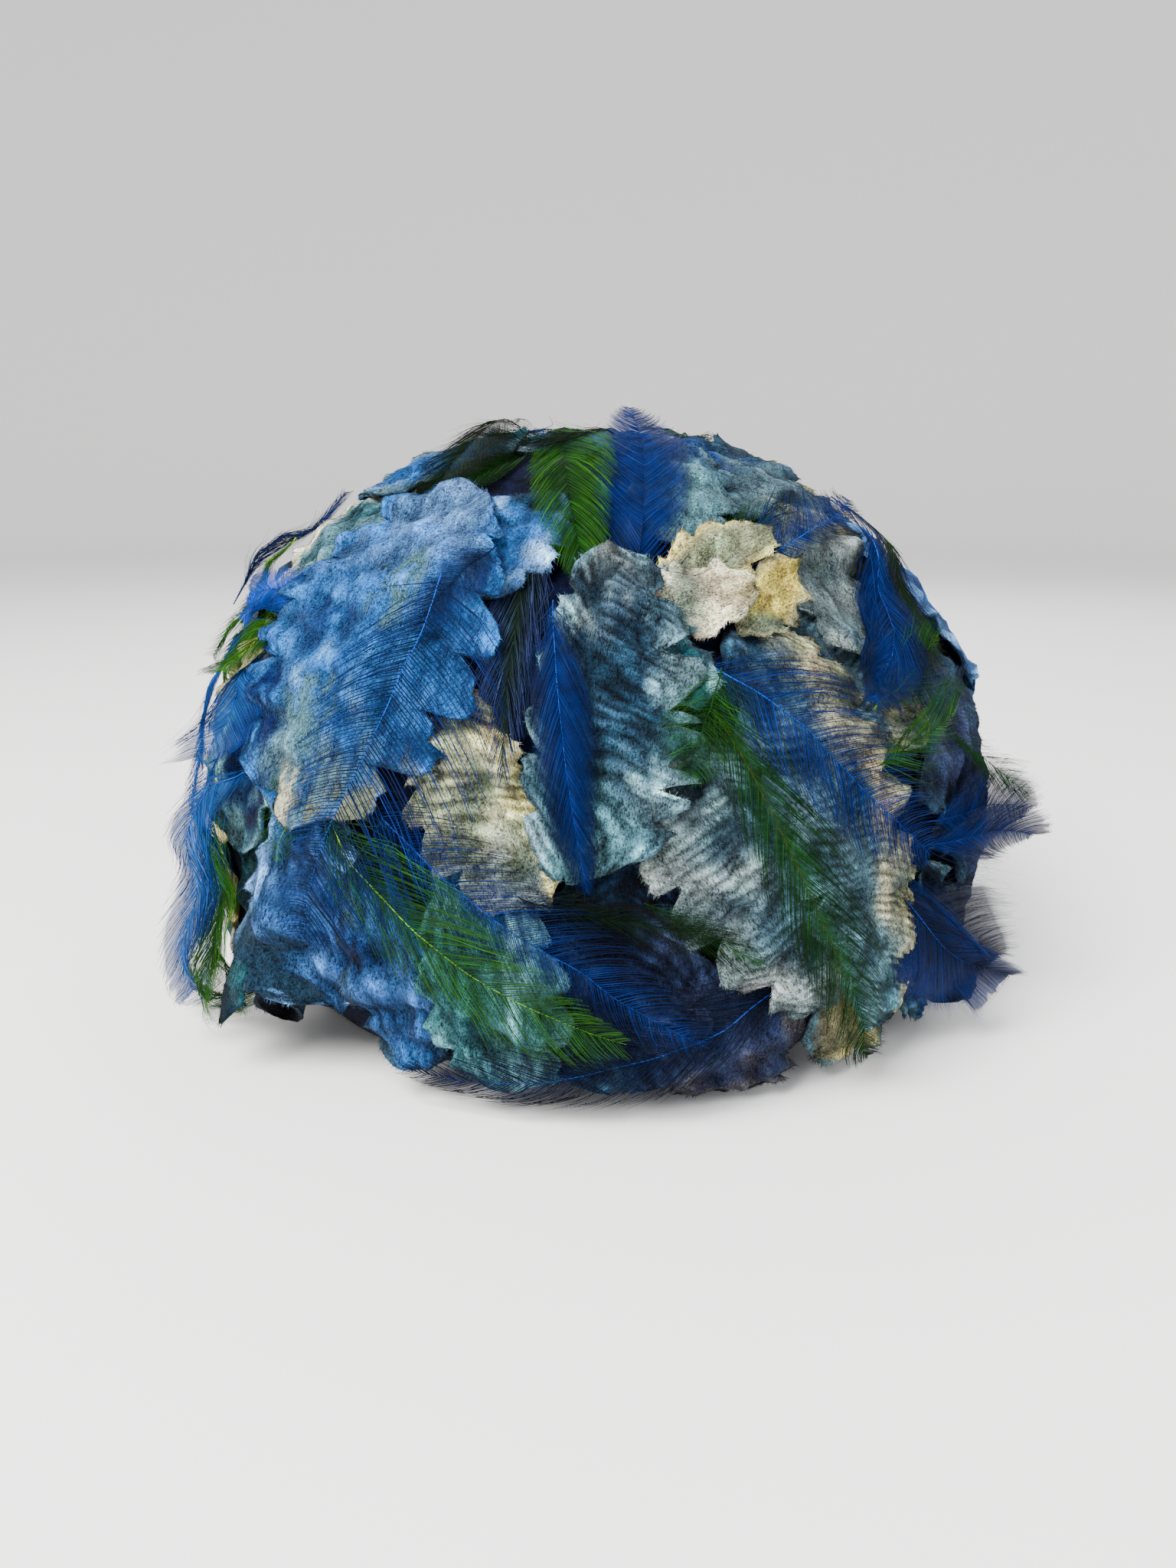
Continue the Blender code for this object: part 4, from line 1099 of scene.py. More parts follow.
class Shape:
    """A mesh gathered from patches: points, faces, colours and two texture coordinates."""

    def __init__(self):
        """No patches yet."""
        self.points = []
        self.tints = []
        self.flats = []
        self.faces = []
        self.materials = []
        self.count = 0

    def add(self, points, faces, tint, flat=None, material=0):
        """Add points with their own faces, and a colour with alpha for each point."""
        points = points.reshape(-1, 3)
        tint = np.broadcast_to(tint, points.shape[:1] + tint.shape[-1:]) if tint.ndim == 1 else tint
        tint = tint.reshape(len(points), -1)
        if tint.shape[1] == 3:
            tint = np.concatenate([tint, np.ones((len(points), 1))], axis=1)
        flat = np.zeros((len(points), 2)) if flat is None else flat.reshape(-1, 2)
        for patch in faces:
            self.faces.append(patch + self.count)
            self.materials.append(np.full(len(patch), material))
        self.points.append(points)
        self.tints.append(tint)
        self.flats.append(flat)
        self.count += len(points)

    def join(self, faces):
        """Add faces between points that are there already."""
        self.faces.append(faces)
        self.materials.append(np.zeros(len(faces), int))

    def build(self, name, materials, slot, node=None):
        """Make the object, dress it and tell the frame what it is."""
        mesh = bpy.data.meshes.new(name)
        points = np.concatenate(self.points)
        corners = np.concatenate([patch.ravel() for patch in self.faces])
        sizes = np.concatenate([np.full(len(patch), patch.shape[1]) for patch in self.faces])
        mesh.vertices.add(len(points))
        mesh.vertices.foreach_set("co", points.ravel())
        mesh.loops.add(len(corners))
        mesh.loops.foreach_set("vertex_index", corners)
        mesh.polygons.add(len(sizes))
        mesh.polygons.foreach_set("loop_start", np.cumsum(sizes) - sizes)
        mesh.polygons.foreach_set("material_index", np.concatenate(self.materials))
        mesh.update(calc_edges=True)
        tint = mesh.attributes.new("tint", "FLOAT_COLOR", "POINT")
        tint.data.foreach_set("color", np.concatenate(self.tints).ravel())
        flats = mesh.uv_layers.new(name="plane")
        flats.data.foreach_set("uv", np.concatenate(self.flats)[corners].ravel())
        mesh.shade_smooth()
        for material in materials:
            mesh.materials.append(material)
        piece = add_object(name, mesh)
        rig.ride(piece, "root")
        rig.slot(piece, slot)
        if node:
            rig.replaces(piece, node)
        return piece


def grid_quads(count_i, count_j):
    """Corner numbers of a grid's cells."""
    index = np.arange(count_i * count_j).reshape(count_i, count_j)
    return np.stack([index[:-1, :-1], index[1:, :-1], index[1:, 1:], index[:-1, 1:]], -1).reshape(-1, 4)


def ring_faces(count_i, count_j):
    """Corner numbers of the quads between closed rings, and of the fan from the last ring to a point.

    The point comes after all the rings, and a quad goes up a column before it goes round.
    """
    index = np.arange(count_i * count_j).reshape(count_i, count_j)
    after = np.roll(index, -1, axis=1)
    quads = np.stack([index[:-1], index[1:], after[1:], after[:-1]], -1).reshape(-1, 4)
    fan = np.stack([index[-1], after[-1], np.full(count_j, count_i * count_j)], -1)
    return quads, fan


def face_out(points, quads):
    """Quads turned so that most of them face away from the dome's centre."""
    corner = points.reshape(-1, 3)[quads]
    normal = np.cross(corner[:, 2] - corner[:, 0], corner[:, 3] - corner[:, 1])
    if np.einsum("ij,ij->", normal, corner.mean(axis=1) - CENTRE) < 0:
        return quads[:, ::-1]
    return quads


def add_sheet(shape, face, back, tint, flat):
    """A closed sheet: a face, a back, and a narrow wall round the edge."""
    count_i, count_j = face.shape[:2]
    shift = count_i * count_j
    index = np.arange(shift).reshape(count_i, count_j)
    ring = np.concatenate([index[0, :-1], index[:-1, -1], index[-1, :0:-1], index[:0:-1, 0]])
    after = np.roll(ring, -1)
    top = grid_quads(count_i, count_j)
    wall = np.stack([ring, after, after + shift, ring + shift], -1)
    if face_out(face, top) is not top:
        faces = [top[:, ::-1], top + shift, wall[:, ::-1]]
    else:
        faces = [top, top[:, ::-1] + shift, wall]
    points = np.concatenate([face.reshape(-1, 3), back.reshape(-1, 3)])
    both = np.concatenate([tint.reshape(-1, 3), tint.reshape(-1, 3) * 0.8])
    shape.add(points, faces, both, np.concatenate([flat.reshape(-1, 2)] * 2))


def add_tubes(shape, path, radius, tint, sides, outward, material=0):
    """Round tubes along paths: a ring of sides points at each step, and both ends closed.

    path is (n, m, 3), radius (n, m) and tint (n, m, 3). A ring lies square to the path.
    """
    count, steps = radius.shape
    tangent = unit(np.gradient(path, axis=1))
    side = unit(np.cross(tangent, outward))
    up = np.cross(side, tangent)
    angle = np.linspace(0, 2 * np.pi, sides, endpoint=False)
    ring = side[:, :, None] * np.cos(angle)[:, None] + up[:, :, None] * np.sin(angle)[:, None]
    points = path[:, :, None] + ring * radius[:, :, None, None]
    index = np.arange(count * steps * sides).reshape(count, steps, sides)
    after = np.roll(index, -1, axis=2)
    walls = np.stack([index[:, :-1], index[:, 1:], after[:, 1:], after[:, :-1]], -1).reshape(-1, 4)
    caps = np.concatenate([index[:, 0], index[:, -1, ::-1]])
    shade = np.repeat(tint[:, :, None], sides, axis=2).reshape(-1, 3)
    shape.add(points, [walls, caps], shade, material=material)


def add_strands(shape, base, direction, normal, length, radius, tint):
    """Thin pointed hairs: three corners round the base and one at the tip."""
    first = unit(np.cross(direction, normal))
    second = np.cross(direction, first)
    angle = 2 * np.pi / 3 * np.arange(3)
    ring = first[:, None] * np.cos(angle)[:, None] + second[:, None] * np.sin(angle)[:, None]
    points = np.concatenate([base[:, None] + ring * radius[:, None, None],
                             (base + direction * length[:, None])[:, None]], axis=1)
    index = np.arange(len(base) * 4).reshape(-1, 4)
    faces = np.concatenate([index[:, corners] for corners in ([0, 1, 3], [1, 2, 3], [2, 0, 3], [0, 2, 1])])
    shape.add(points, [faces], np.repeat(tint[:, None], 4, axis=1))


def add_pile(shape, leaf, look, density):
    """Short hairs over a leaf's face, combed towards its tip, and more of them round its edge.

    None is made where another leaf covers the place.
    """
    rng = np.random.default_rng(leaf["seed"] + 11)
    face, tint, plane = leaf["face"], leaf["tint"], leaf["plane"]
    count_i, count_j = face.shape[:2]
    ahead = unit(np.gradient(face, axis=0))
    aside = unit(np.gradient(face, axis=1))
    normal = unit(np.cross(ahead, aside))
    if np.sum(normal * (face - CENTRE)) < 0:
        normal = -normal
    cells = np.linalg.norm(face[1:, :-1] - face[:-1, :-1], axis=-1)
    cells = cells * np.linalg.norm(face[:-1, 1:] - face[:-1, :-1], axis=-1)
    count = int(cells.sum() / MM ** 2 * density)
    pick = rng.choice(cells.size, count, p=(cells / cells.sum()).ravel())
    i = pick // (count_j - 1) + rng.random(count)
    j = pick % (count_j - 1) + rng.random(count)
    rim = int(np.linalg.norm(np.diff(face[:, 0], axis=0), axis=-1).sum() / MM * look.edge_density)
    end = int(np.linalg.norm(np.diff(face[-1], axis=0), axis=-1).sum() / MM * look.edge_density)
    at = rng.random(rim)
    beside = rng.random(end)
    last_i = count_i - 1
    last_j = count_j - 1
    i = np.concatenate([i, at * last_i, at * last_i, 0 * beside, 0 * beside + last_i])
    j = np.concatenate([j, 0 * at, 0 * at + last_j, beside * last_j, beside * last_j])
    n = sample(normal, i, j)
    a = sample(ahead, i, j)
    b = sample(aside, i, j)
    spot = sample(plane, i, j)
    swirl = SWIRL * ripples(spot[:, 0], spot[:, 1], SWIRL_WAVE, leaf["seed"] + 12)
    swirl = swirl + HAIR_STRAY * rng.normal(size=len(i))
    comb = a * np.cos(swirl)[:, None] + b * np.sin(swirl)[:, None]
    rise = rng.uniform(0.25, 0.75, len(i))[:, None]
    out = np.zeros((len(i), 3))
    out[count:] = np.concatenate([-b[count:count + rim], b[count + rim:count + 2 * rim],
                                  -a[count + 2 * rim:count + 2 * rim + end], a[count + 2 * rim + end:]])
    direction = unit(comb + n * rise + EDGE_FLARE * out)
    length = look.pile_length * rng.uniform(0.6, 1.3, len(i))
    shade = np.exp(rng.normal(0, HAIR_SHADES, len(i)))[:, None]
    colour = np.clip(sample(tint, i, j) * shade, 0, 1)
    radius = look.pile_radius * rng.uniform(0.7, 1.2, len(i))
    show = ~hidden(laid("cloth"), unit(sample(leaf["directions"], i, j)), sample(leaf["reach"], i, j))
    add_strands(shape, (sample(face, i, j) - n * HAIR_SINK * MM)[show], direction[show], n[show],
                length[show], radius[show], colour[show])


def node_group(name, inputs, outputs):
    """A new shader node group with named sockets, and its two end nodes."""
    group = bpy.data.node_groups.new(name, "ShaderNodeTree")
    for socket, kind, value in inputs:
        made = group.interface.new_socket(socket, in_out="INPUT", socket_type=kind)
        if value is not None:
            made.default_value = value
    for socket, kind in outputs:
        group.interface.new_socket(socket, in_out="OUTPUT", socket_type=kind)
    return group, group.nodes.new("NodeGroupInput"), group.nodes.new("NodeGroupOutput")


def add_node(tree, kind, **settings):
    """A node with its properties set, and its unlinked inputs where a key names one."""
    node = tree.nodes.new(kind)
    for key, value in settings.items():
        if key in node.inputs:
            node.inputs[key].default_value = value
        else:
            setattr(node, key, value)
    return node


def scaled(tree, source, low, high, from_low=0.0, from_high=1.0):
    """A value mapped from one range to another."""
    ranges = {"From Min": from_low, "From Max": from_high, "To Min": low, "To Max": high}
    node = add_node(tree, "ShaderNodeMapRange", **ranges)
    tree.links.new(source, node.inputs["Value"])
    return node.outputs["Result"]


def combined(tree, operation, first, second):
    """A maths node of two values or sockets."""
    node = add_node(tree, "ShaderNodeMath", operation=operation)
    for socket, value in zip(node.inputs, (first, second)):
        if isinstance(value, bpy.types.NodeSocket):
            tree.links.new(value, socket)
        else:
            socket.default_value = value
    return node.outputs["Value"]


def shaded(tree, colour, factor):
    """A colour times a value."""
    node = add_node(tree, "ShaderNodeVectorMath", operation="SCALE")
    tree.links.new(colour, node.inputs[0])
    tree.links.new(factor, node.inputs["Scale"])
    return node.outputs["Vector"]


def velvet_group():
    """Nap of velvet: soft patches, short streaks along the cloth and a fine speckle of pile."""
    group, start, end = node_group(
        "Velvet nap",
        [("Tint", "NodeSocketColor", None), ("Patch Size", "NodeSocketFloat", 0.006),
         ("Pile Size", "NodeSocketFloat", 0.0005), ("Contrast", "NodeSocketFloat", 0.3)],
        [("Color", "NodeSocketColor"), ("Height", "NodeSocketFloat")],
    )
    coordinates = add_node(group, "ShaderNodeTexCoord")
    patch = add_node(group, "ShaderNodeTexNoise", Detail=3.0, Roughness=0.6)
    pile = add_node(group, "ShaderNodeTexNoise", Detail=2.0, Roughness=0.7)
    for noise, size in ((patch, "Patch Size"), (pile, "Pile Size")):
        group.links.new(coordinates.outputs["Object"], noise.inputs["Vector"])
        group.links.new(combined(group, "DIVIDE", 1.0, start.outputs[size]), noise.inputs["Scale"])
    comb = add_node(group, "ShaderNodeMapping", Scale=(75.0, 170.0, 1.0))
    group.links.new(coordinates.outputs["UV"], comb.inputs["Vector"])
    streak = add_node(group, "ShaderNodeTexNoise", Detail=3.0, Roughness=0.7, Scale=1.0, Distortion=1.6)
    group.links.new(comb.outputs["Vector"], streak.inputs["Vector"])
    total = combined(group, "ADD", scaled(group, patch.outputs["Fac"], -0.7, 0.7, 0.25, 0.75),
                     scaled(group, streak.outputs["Fac"], -1.9, 1.9, 0.25, 0.75))
    total = combined(group, "ADD", total, scaled(group, pile.outputs["Fac"], -0.9, 0.9, 0.25, 0.75))
    total = combined(group, "MULTIPLY", total, start.outputs["Contrast"])
    factor = combined(group, "MAXIMUM", combined(group, "ADD", total, 1.0), 0.15)
    group.links.new(shaded(group, start.outputs["Tint"], factor), end.inputs["Color"])
    height = combined(group, "ADD", scaled(group, pile.outputs["Fac"], 0.0, 0.6),
                      scaled(group, streak.outputs["Fac"], 0.0, 0.6))
    group.links.new(height, end.inputs["Height"])
    return group


def barb_group():
    """Dyed barbs: light and dark along the feather, and how much of the vane between them shows."""
    group, start, end = node_group(
        "Barb dye",
        [("Tint", "NodeSocketColor", None), ("Veil", "NodeSocketFloat", 1.0),
         ("Contrast", "NodeSocketFloat", 0.5), ("Spread", "NodeSocketFloat", 1.3)],
        [("Color", "NodeSocketColor"), ("Alpha", "NodeSocketFloat"), ("Height", "NodeSocketFloat")],
    )
    coordinates = add_node(group, "ShaderNodeTexCoord")
    comb = add_node(group, "ShaderNodeMapping", Scale=(1.0, 0.35, 1.0))
    group.links.new(coordinates.outputs["UV"], comb.inputs["Vector"])
    strip = add_node(group, "ShaderNodeTexNoise", Detail=3.0, Roughness=0.7, Scale=2.2)
    group.links.new(comb.outputs["Vector"], strip.inputs["Vector"])
    patch = add_node(group, "ShaderNodeTexNoise", Detail=2.0, Scale=160.0)
    group.links.new(coordinates.outputs["Object"], patch.inputs["Vector"])
    light = scaled(group, patch.outputs["Fac"], 0.7, 1.35, 0.3, 0.7)
    stripe = combined(group, "MULTIPLY", scaled(group, strip.outputs["Fac"], -1.0, 1.0, 0.3, 0.7),
                      start.outputs["Contrast"])
    light = combined(group, "MULTIPLY", light, combined(group, "ADD", stripe, 1.0))
    group.links.new(shaded(group, start.outputs["Tint"], light), end.inputs["Color"])
    gap = scaled(group, strip.outputs["Fac"], 1.0, 0.0, 0.35, 0.62)
    gap = combined(group, "MULTIPLY", gap, start.outputs["Spread"])
    gap = combined(group, "MULTIPLY", gap, combined(group, "SUBTRACT", 1.0, start.outputs["Veil"]))
    alpha = combined(group, "MULTIPLY", start.outputs["Veil"], combined(group, "SUBTRACT", 1.0, gap))
    group.links.new(combined(group, "MINIMUM", combined(group, "MAXIMUM", alpha, 0.0), 1.0),
                    end.inputs["Alpha"])
    group.links.new(strip.outputs["Fac"], end.inputs["Height"])
    return group


def dressed(name, group, values, shader_values, bump):
    """A material: the tint through a finish group into one shader, with a bump from its height."""
    material = bpy.data.materials.new(name)
    material.use_nodes = True
    tree = material.node_tree
    shader = tree.nodes["Principled BSDF"]
    for key, value in shader_values.items():
        shader.inputs[key].default_value = value
    tint = add_node(tree, "ShaderNodeAttribute", attribute_name="tint")
    dye = add_node(tree, "ShaderNodeGroup", node_tree=group)
    for key, value in values.items():
        dye.inputs[key].default_value = value
    tree.links.new(tint.outputs["Color"], dye.inputs["Tint"])
    tree.links.new(dye.outputs["Color"], shader.inputs["Base Color"])
    if name == "vane_dye":
        tree.links.new(tint.outputs["Alpha"], dye.inputs["Veil"])
        tree.links.new(dye.outputs["Alpha"], shader.inputs["Alpha"])
    if bump:
        node = add_node(tree, "ShaderNodeBump", Strength=bump[0], Distance=bump[1])
        tree.links.new(dye.outputs["Height"], node.inputs["Height"])
        tree.links.new(node.outputs["Normal"], shader.inputs["Normal"])
    return material


# The shader's values for cloth and for feathers.
CLOTH = {
    "Roughness": 0.95, "Specular IOR Level": 0.05, "Sheen Weight": 0.05, "Sheen Roughness": 0.35,
    "Sheen Tint": (0.80, 0.88, 1.0, 1.0),
}
PLUME = {"Roughness": 0.55, "Specular IOR Level": 0.08}

# A finish a row: its group and what makes it, the group's values, the shader's values, and the
# bump's strength and distance.
FINISHES = {
    "leaf_pile": ("Velvet nap", velvet_group, {"Contrast": 0.62}, CLOTH, (0.9, 0.0008)),
    "cap_pile": ("Velvet nap", velvet_group, {"Contrast": 0.7, "Pile Size": 0.0007}, CLOTH, (0.5, 0.0005)),
    "barb_dye": ("Barb dye", barb_group, {"Contrast": 0.15}, PLUME, None),
    "vane_dye": ("Barb dye", barb_group, {"Contrast": 0.35}, PLUME, (0.3, 0.0002)),
}


def finish(name):
    """One of the hat's finishes, made when it is first asked for."""
    if name not in bpy.data.materials:
        group_name, maker, values, shader_values, bump = FINISHES[name]
        group = bpy.data.node_groups.get(group_name) or maker()
        return dressed(name, group, values, shader_values, bump)
    return bpy.data.materials[name]


def build_velvet(shape, row):
    """A leaf's object, dressed in velvet, in place of its solid."""
    shape.build(row["name"] + "_velvet", [finish("leaf_pile")], "velvet_" + row["slot"], node_of(row))


def make_leaf(row, look):
    """One velvet leaf with its pile."""
    leaf = laid(row["name"])
    shape = Shape()
    add_sheet(shape, leaf["face"], leaf["back"], leaf["tint"], leaf["plane"] * 0.01)
    add_pile(shape, leaf, look, look.pile_density * (look.front_share if far_side(row) else 1.0))
    build_velvet(shape, row)


def make_feather(row, look):
    """One feather: quill, barbs and vane."""
    feather = laid(row["name"])
    shape = Shape()
    quill = feather["quill"]
    t = np.linspace(0, 1, len(quill))
    radius = (look.quill_radius * (1 - 0.82 * t))[None]
    colour = np.ones((1, len(quill), 3)) * linear(DYES[row["quill"]])
    add_tubes(shape, quill[None], radius, colour, 6, unit(quill - CENTRE)[None])
    rng = np.random.default_rng(feather["seed"] + 3)
    for path, radius, tint in feather["barbs"]:
        outward = unit(path - CENTRE) + 0.5 * rng.normal(size=(len(path), 1, 3))
        add_tubes(shape, path, radius, np.clip(tint, 0, 1), 3, outward)
    for veil, alpha, tone, side in feather["veils"]:
        count_i, count_j = alpha.shape
        quads = face_out(veil, grid_quads(count_i, count_j))
        at = np.arange(count_i) * row["length"] / count_i
        u, v = np.meshgrid(at, np.linspace(0, 1, count_j), indexing="ij")
        colour = np.concatenate([np.clip(tone, 0, 1), alpha[..., None]], axis=-1)
        shape.add(veil, [quads], colour.reshape(-1, 4), np.stack([u, v + 3 * side], -1), material=1)
    finishes = [finish("barb_dye"), finish("vane_dye")]
    shape.build(row["name"] + "_plume", finishes, "feather_" + row["slot"], node_of(row))


def make_roll(row, look):
    """A rolled leaf end with its open mouth."""
    roll = laid(row["name"])
    shape = Shape()
    # The inner wall takes the row's dark inside colour: painted shade inside the tube.
    for grid, colour in ((roll["face"], row["outside"]), (roll["inside"], row["inside"])):
        inside_count = shape.count
        quads, fan = ring_faces(*grid.shape[:2])
        points = np.concatenate([grid.reshape(-1, 3), grid[-1].mean(axis=0)[None]])
        faces = [quads, fan[:, ::-1]] if inside_count else [quads[:, ::-1], fan]
        shade = 1 + 0.2 * ripples(points[:, 0] / MM, points[:, 2] / MM, 5.0, 8)
        shape.add(points, faces, linear(VELVETS[colour]) * shade[:, None], points[:, [0, 2]] * 10)
    ring = np.arange(ROLL_SIDES)
    after = np.roll(ring, -1)
    shape.join(np.stack([ring, after, after + inside_count, ring + inside_count], -1))
    add_pile(shape, roll, look, look.pile_density)
    build_velvet(shape, row)


def make_cap(look):
    """The foundation: a smooth domed shell with a flat rim, open below."""
    shape = Shape()
    foot = HALF_WIDTH * np.sqrt(1 - (CENTRE[2] / TUCK_DEPTH) ** 2)
    low = -np.arcsin(CENTRE[2] / np.hypot(CENTRE[2], foot))
    elevation = np.linspace(low, np.pi / 2, CAP_ROWS)[:-1, None]
    azimuth = np.linspace(0, 2 * np.pi, CAP_COLUMNS)[None, :-1]
    flat = [np.cos(elevation) * np.sin(azimuth), -np.cos(elevation) * np.cos(azimuth), np.sin(elevation)]
    direction = np.stack([part + 0 * azimuth for part in flat], -1)
    quads, fan = ring_faces(*direction.shape[:2])
    quads = quads[:, [0, 3, 2, 1]]
    for wall, colour in ((0.0, "navy"), (CAP_WALL, "midnight")):
        points = direction * (cap_radius(direction) - wall)[..., None] + CENTRE
        points[0, :, 2] = 0.0
        points = np.concatenate([points.reshape(-1, 3), [CENTRE + [0, 0, CROWN_RISE - wall]]])
        faces = [quads, fan] if wall == 0 else [quads[:, ::-1], fan[:, ::-1]]
        shape.add(points, faces, linear(VELVETS[colour]), points[:, [0, 2]])
    ring = np.arange(direction.shape[1])
    after = np.roll(ring, -1)
    shift = shape.count // 2
    shape.join(np.stack([ring + shift, after + shift, after, ring], -1))
    around = np.concatenate([direction, direction[:, :1]], axis=1)
    around[0] = unit(around[0] + NAP_START * around[1])
    reach = cap_radius(around)
    nap = {
        "face": around * reach[..., None] + CENTRE, "plane": np.zeros(reach.shape + (2,)),
        "tint": np.ones(around.shape) * linear(VELVETS["navy"]), "seed": 1,
        "directions": around, "reach": reach,
    }
    add_pile(shape, nap, look, look.pile_density * CAP_SHARE)
    shape.build("foundation_cap_shell", [finish("cap_pile")], "cap_velvet", "foundation_cap")


def length_of(name, description, default, least=0.0):
    """A setting for a length in metres."""
    return FloatProperty(name=name, description=description, default=default, min=least, unit="LENGTH")


def amount_of(name, description, default, least=0.0, **kind):
    """A setting for a plain number, or for one of a kind such as a power."""
    return FloatProperty(name=name, description=description, default=default, min=least, **kind)


class HatLook(bpy.types.PropertyGroup):
    """Sizes of the pile, the barbs and the meshes."""
    leaf_step: length_of("Leaf step", "Mesh step along the leaves", 0.0012, 0.0004)
    front_step: length_of("Front step", "Mesh step along the large front leaves", 0.0030, 0.0005)
    pile_length: length_of("Pile length", "Length of the velvet's hairs", 0.0012)
    pile_radius: length_of("Pile radius", "Half thickness of a hair at its base", 0.00008, 0.00001)
    pile_density: amount_of("Pile density", "Hairs on each square millimetre", 1.4)
    front_share: amount_of("Front share", "Share of that density on the front leaves", 0.12, subtype="FACTOR")
    edge_density: amount_of("Edge density", "Hairs on each millimetre of a leaf's edge", 2.6)
    barb_radius: length_of("Barb radius", "Half thickness of a barb at the quill", 0.00007, 0.00002)
    barb_steps: IntProperty(name="Barb steps", description="Straight runs in each barb", default=4, min=2)
    barb_thinning: amount_of("Barb thinning", "How many times fewer barbs are made", 1.0, 1.0)
    quill_radius: length_of("Quill radius", "Half thickness of a quill at its foot", 0.00019, 0.0001)


class HatStudio(bpy.types.PropertyGroup):
    """The floor, the light and the camera."""
    floor_colour: FloatVectorProperty(name="Floor colour", description="Colour of the pale studio floor",
                                      default=(0.93, 0.93, 0.93), size=3, subtype="COLOR", min=0.0, max=1.0)
    key_power: amount_of("Key light", "Power of the main light", 60.0, unit="POWER")
    fill_power: amount_of("Fill light", "Power of the side light and the back light", 8.0, unit="POWER")
    sky_strength: amount_of("Sky", "Strength of the even light all round", 0.85)
    distance: length_of("Distance", "From the hat's centre to the camera", 0.385, 0.2)
    tilt: FloatProperty(name="Tilt", description="How far the camera looks down",
                        default=np.radians(14), subtype="ANGLE")
    lens: FloatProperty(name="Lens", description="Focal length", default=27.07, unit="CAMERA")


class HAT_OT_cap(bpy.types.Operator):
    """Make the foundation cap"""
    bl_idname = "hat.cap"
    bl_label = "Cap"

    def execute(self, context):
        make_cap(context.scene.hat_look)
        return {"FINISHED"}


class HAT_OT_leaves(bpy.types.Operator):
    """Make the velvet leaves"""
    bl_idname = "hat.leaves"
    bl_label = "Leaves"

    def execute(self, context):
        for row in LEAF_TABLE:
            make_leaf(row, context.scene.hat_look)
        return {"FINISHED"}


class HAT_OT_rolls(bpy.types.Operator):
    """Make the rolled leaf ends"""
    bl_idname = "hat.rolls"
    bl_label = "Rolled leaves"

    def execute(self, context):
        for row in ROLL_TABLE:
            make_roll(row, context.scene.hat_look)
        return {"FINISHED"}


class HAT_OT_feathers(bpy.types.Operator):
    """Make the feathers and the tufts"""
    bl_idname = "hat.feathers"
    bl_label = "Feathers"

    def execute(self, context):
        for row in FEATHER_TABLE:
            make_feather(row, context.scene.hat_look)
        return {"FINISHED"}


def set_up(name, data, spot, ahead):
    """An object at a spot whose own -Z looks ahead, with its own Y up."""
    made = add_object(name, data)
    made.location = spot
    made.rotation_mode = "QUATERNION"
    made.rotation_quaternion = ahead.to_track_quat("-Z", "Y")
    return made


def add_light(name, spot, size, power, colour):
    """A square soft light that faces the dome's centre."""
    data = bpy.data.lights.new(name, "AREA")
    data.energy = power
    data.size = size
    data.color = colour
    set_up(name, data, spot, Vector(CENTRE) - Vector(spot))


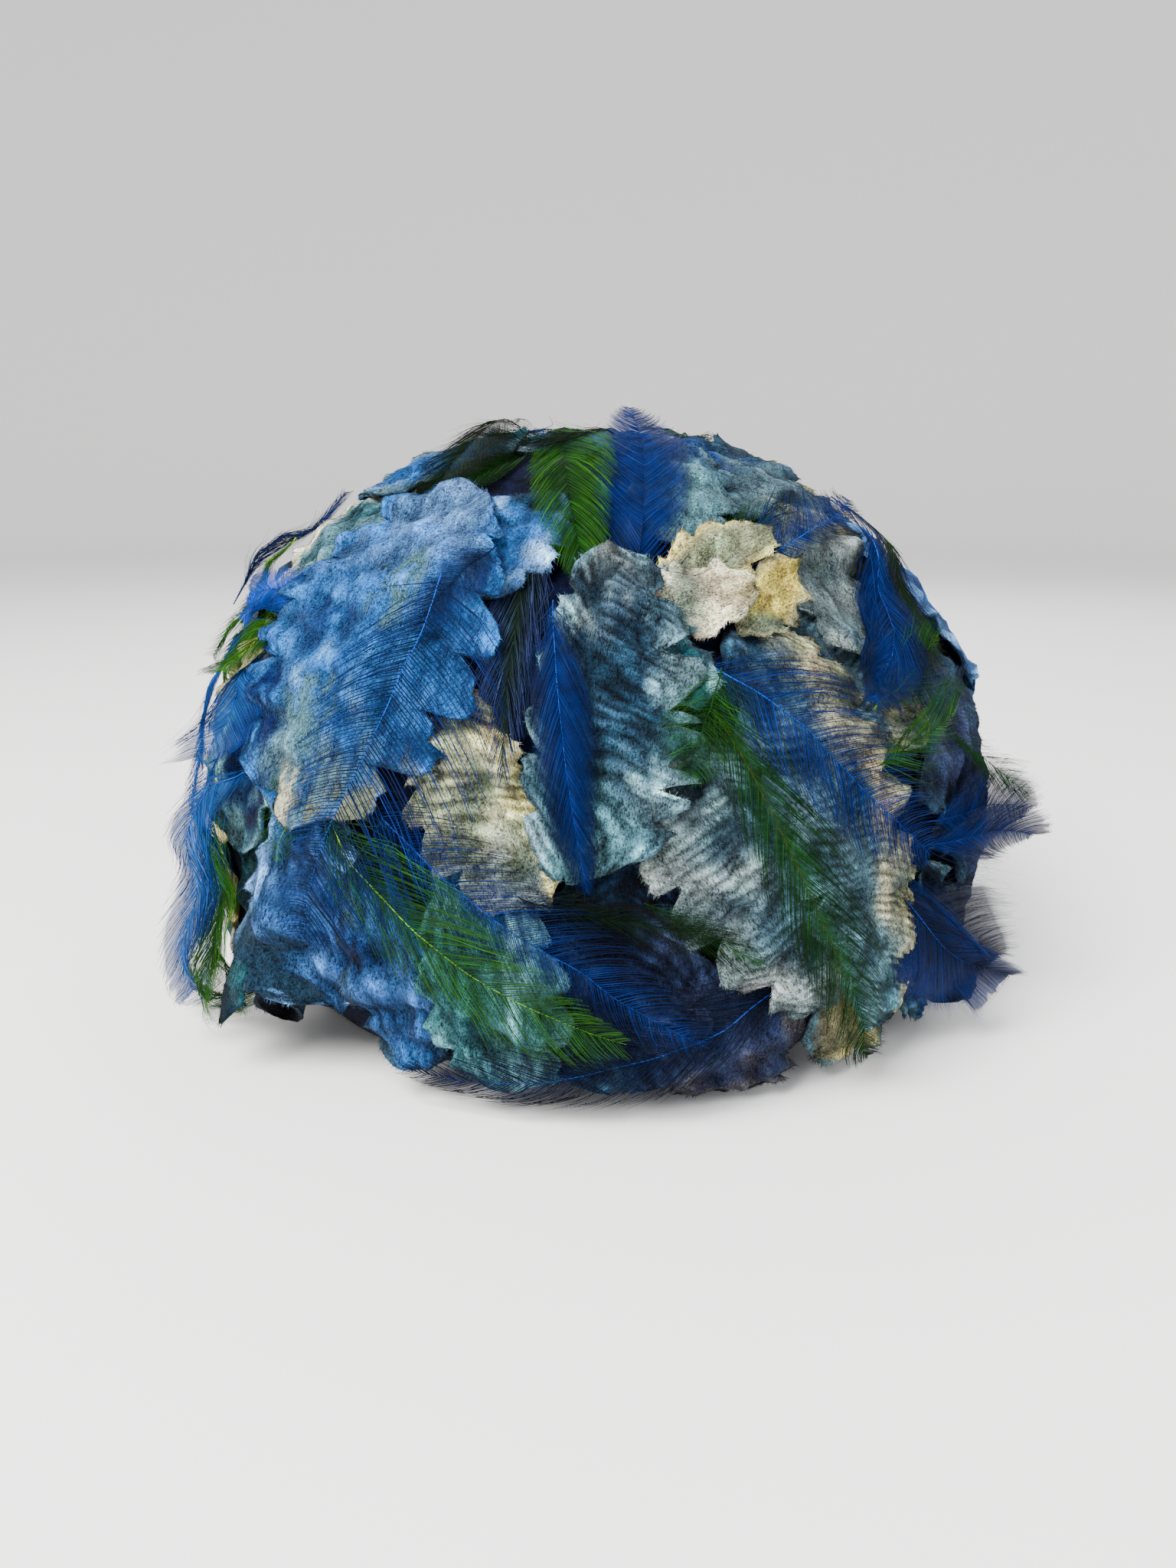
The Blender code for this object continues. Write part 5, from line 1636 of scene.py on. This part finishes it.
class HAT_OT_stage(bpy.types.Operator):
    """Make the floor, the lights and the camera"""
    bl_idname = "hat.stage"
    bl_label = "Stage"

    def execute(self, context):
        studio = context.scene.hat_studio
        bend = np.linspace(0.1, np.pi / 2, 12)
        flat = np.concatenate([[0.0], np.linspace(0.4, FLOOR_RADIUS, 5)])
        radius = np.concatenate([flat, FLOOR_RADIUS + FLOOR_RUN * np.sin(bend)])[:, None]
        height = np.concatenate([0 * flat, FLOOR_RISE * (1 - np.cos(bend))])[:, None]
        turn = np.linspace(0, 2 * np.pi, 97)[None, :-1]
        points = np.stack([radius * np.cos(turn), radius * np.sin(turn), height + 0 * turn], -1)
        quads = ring_faces(*points.shape[:2])[0]
        mesh = bpy.data.meshes.new("studio_floor")
        mesh.from_pydata(points.reshape(-1, 3).tolist(), [], quads.tolist())
        mesh.shade_smooth()
        material = bpy.data.materials.new("studio_floor")
        material.use_nodes = True
        shader = material.node_tree.nodes["Principled BSDF"]
        shader.inputs["Base Color"].default_value = (*studio.floor_colour, 1.0)
        shader.inputs["Roughness"].default_value = 0.9
        mesh.materials.append(material)
        floor = add_object("studio_floor", mesh)
        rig.stage(floor)
        world = bpy.data.worlds.new("studio_sky")
        world.use_nodes = True
        sky = world.node_tree.nodes["Background"]
        sky.inputs["Color"].default_value = (1.0, 1.0, 1.0, 1.0)
        sky.inputs["Strength"].default_value = studio.sky_strength
        context.scene.world = world
        add_light("key_light", (-0.55, -0.75, 1.05), 0.7, studio.key_power, (1.0, 0.98, 0.95))
        add_light("fill_light", (0.95, -0.65, 0.55), 0.9, studio.fill_power, (0.94, 0.97, 1.0))
        add_light("back_light", (0.2, 0.95, 0.9), 0.9, studio.fill_power, (1.0, 1.0, 1.0))
        back = Vector((0, -np.cos(studio.tilt), np.sin(studio.tilt)))
        data = bpy.data.cameras.new("camera")
        data.lens = studio.lens
        data.sensor_width = 36.0
        data.shift_x = -0.0039
        data.shift_y = -0.0059
        spot = Vector(CENTRE) + Vector((0, 0, -0.001)) + back * studio.distance
        context.scene.camera = set_up("camera", data, spot, -back)
        return {"FINISHED"}


class HAT_PT_panel(bpy.types.Panel):
    """The hat's pieces and sizes"""
    bl_label = "Velvet leaf hat"
    bl_idname = "HAT_PT_panel"
    bl_space_type = "VIEW_3D"
    bl_region_type = "UI"
    bl_category = "Hat"

    def draw(self, context):
        layout = self.layout
        for group in (context.scene.hat_look, context.scene.hat_studio):
            for name in group.bl_rna.properties.keys():
                if name not in ("name", "rna_type"):
                    layout.prop(group, name)
        for operator in OPERATORS:
            layout.operator(operator.bl_idname)


OPERATORS = (HAT_OT_cap, HAT_OT_leaves, HAT_OT_rolls, HAT_OT_feathers, HAT_OT_stage)
CLASSES = (HatLook, HatStudio, *OPERATORS, HAT_PT_panel)


def register():
    """Add the classes and their settings."""
    for made in CLASSES:
        bpy.utils.register_class(made)
    bpy.types.Scene.hat_look = PointerProperty(type=HatLook)
    bpy.types.Scene.hat_studio = PointerProperty(type=HatStudio)


def unregister():
    """Take the classes and their settings away again."""
    del bpy.types.Scene.hat_studio
    del bpy.types.Scene.hat_look
    for made in reversed(CLASSES):
        bpy.utils.unregister_class(made)


def main():
    """Build the hat and its stage, and write the two boxes."""
    register()
    bpy.ops.hat.cap()
    bpy.ops.hat.leaves()
    bpy.ops.hat.rolls()
    bpy.ops.hat.feathers()
    bpy.ops.hat.stage()
    sizes = {"cad": CAD_BOX, "visual": [list(corner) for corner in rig.bounds()]}
    with open("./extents.json", "w") as file:
        json.dump(sizes, file)


if __name__ == "__main__":
    main()
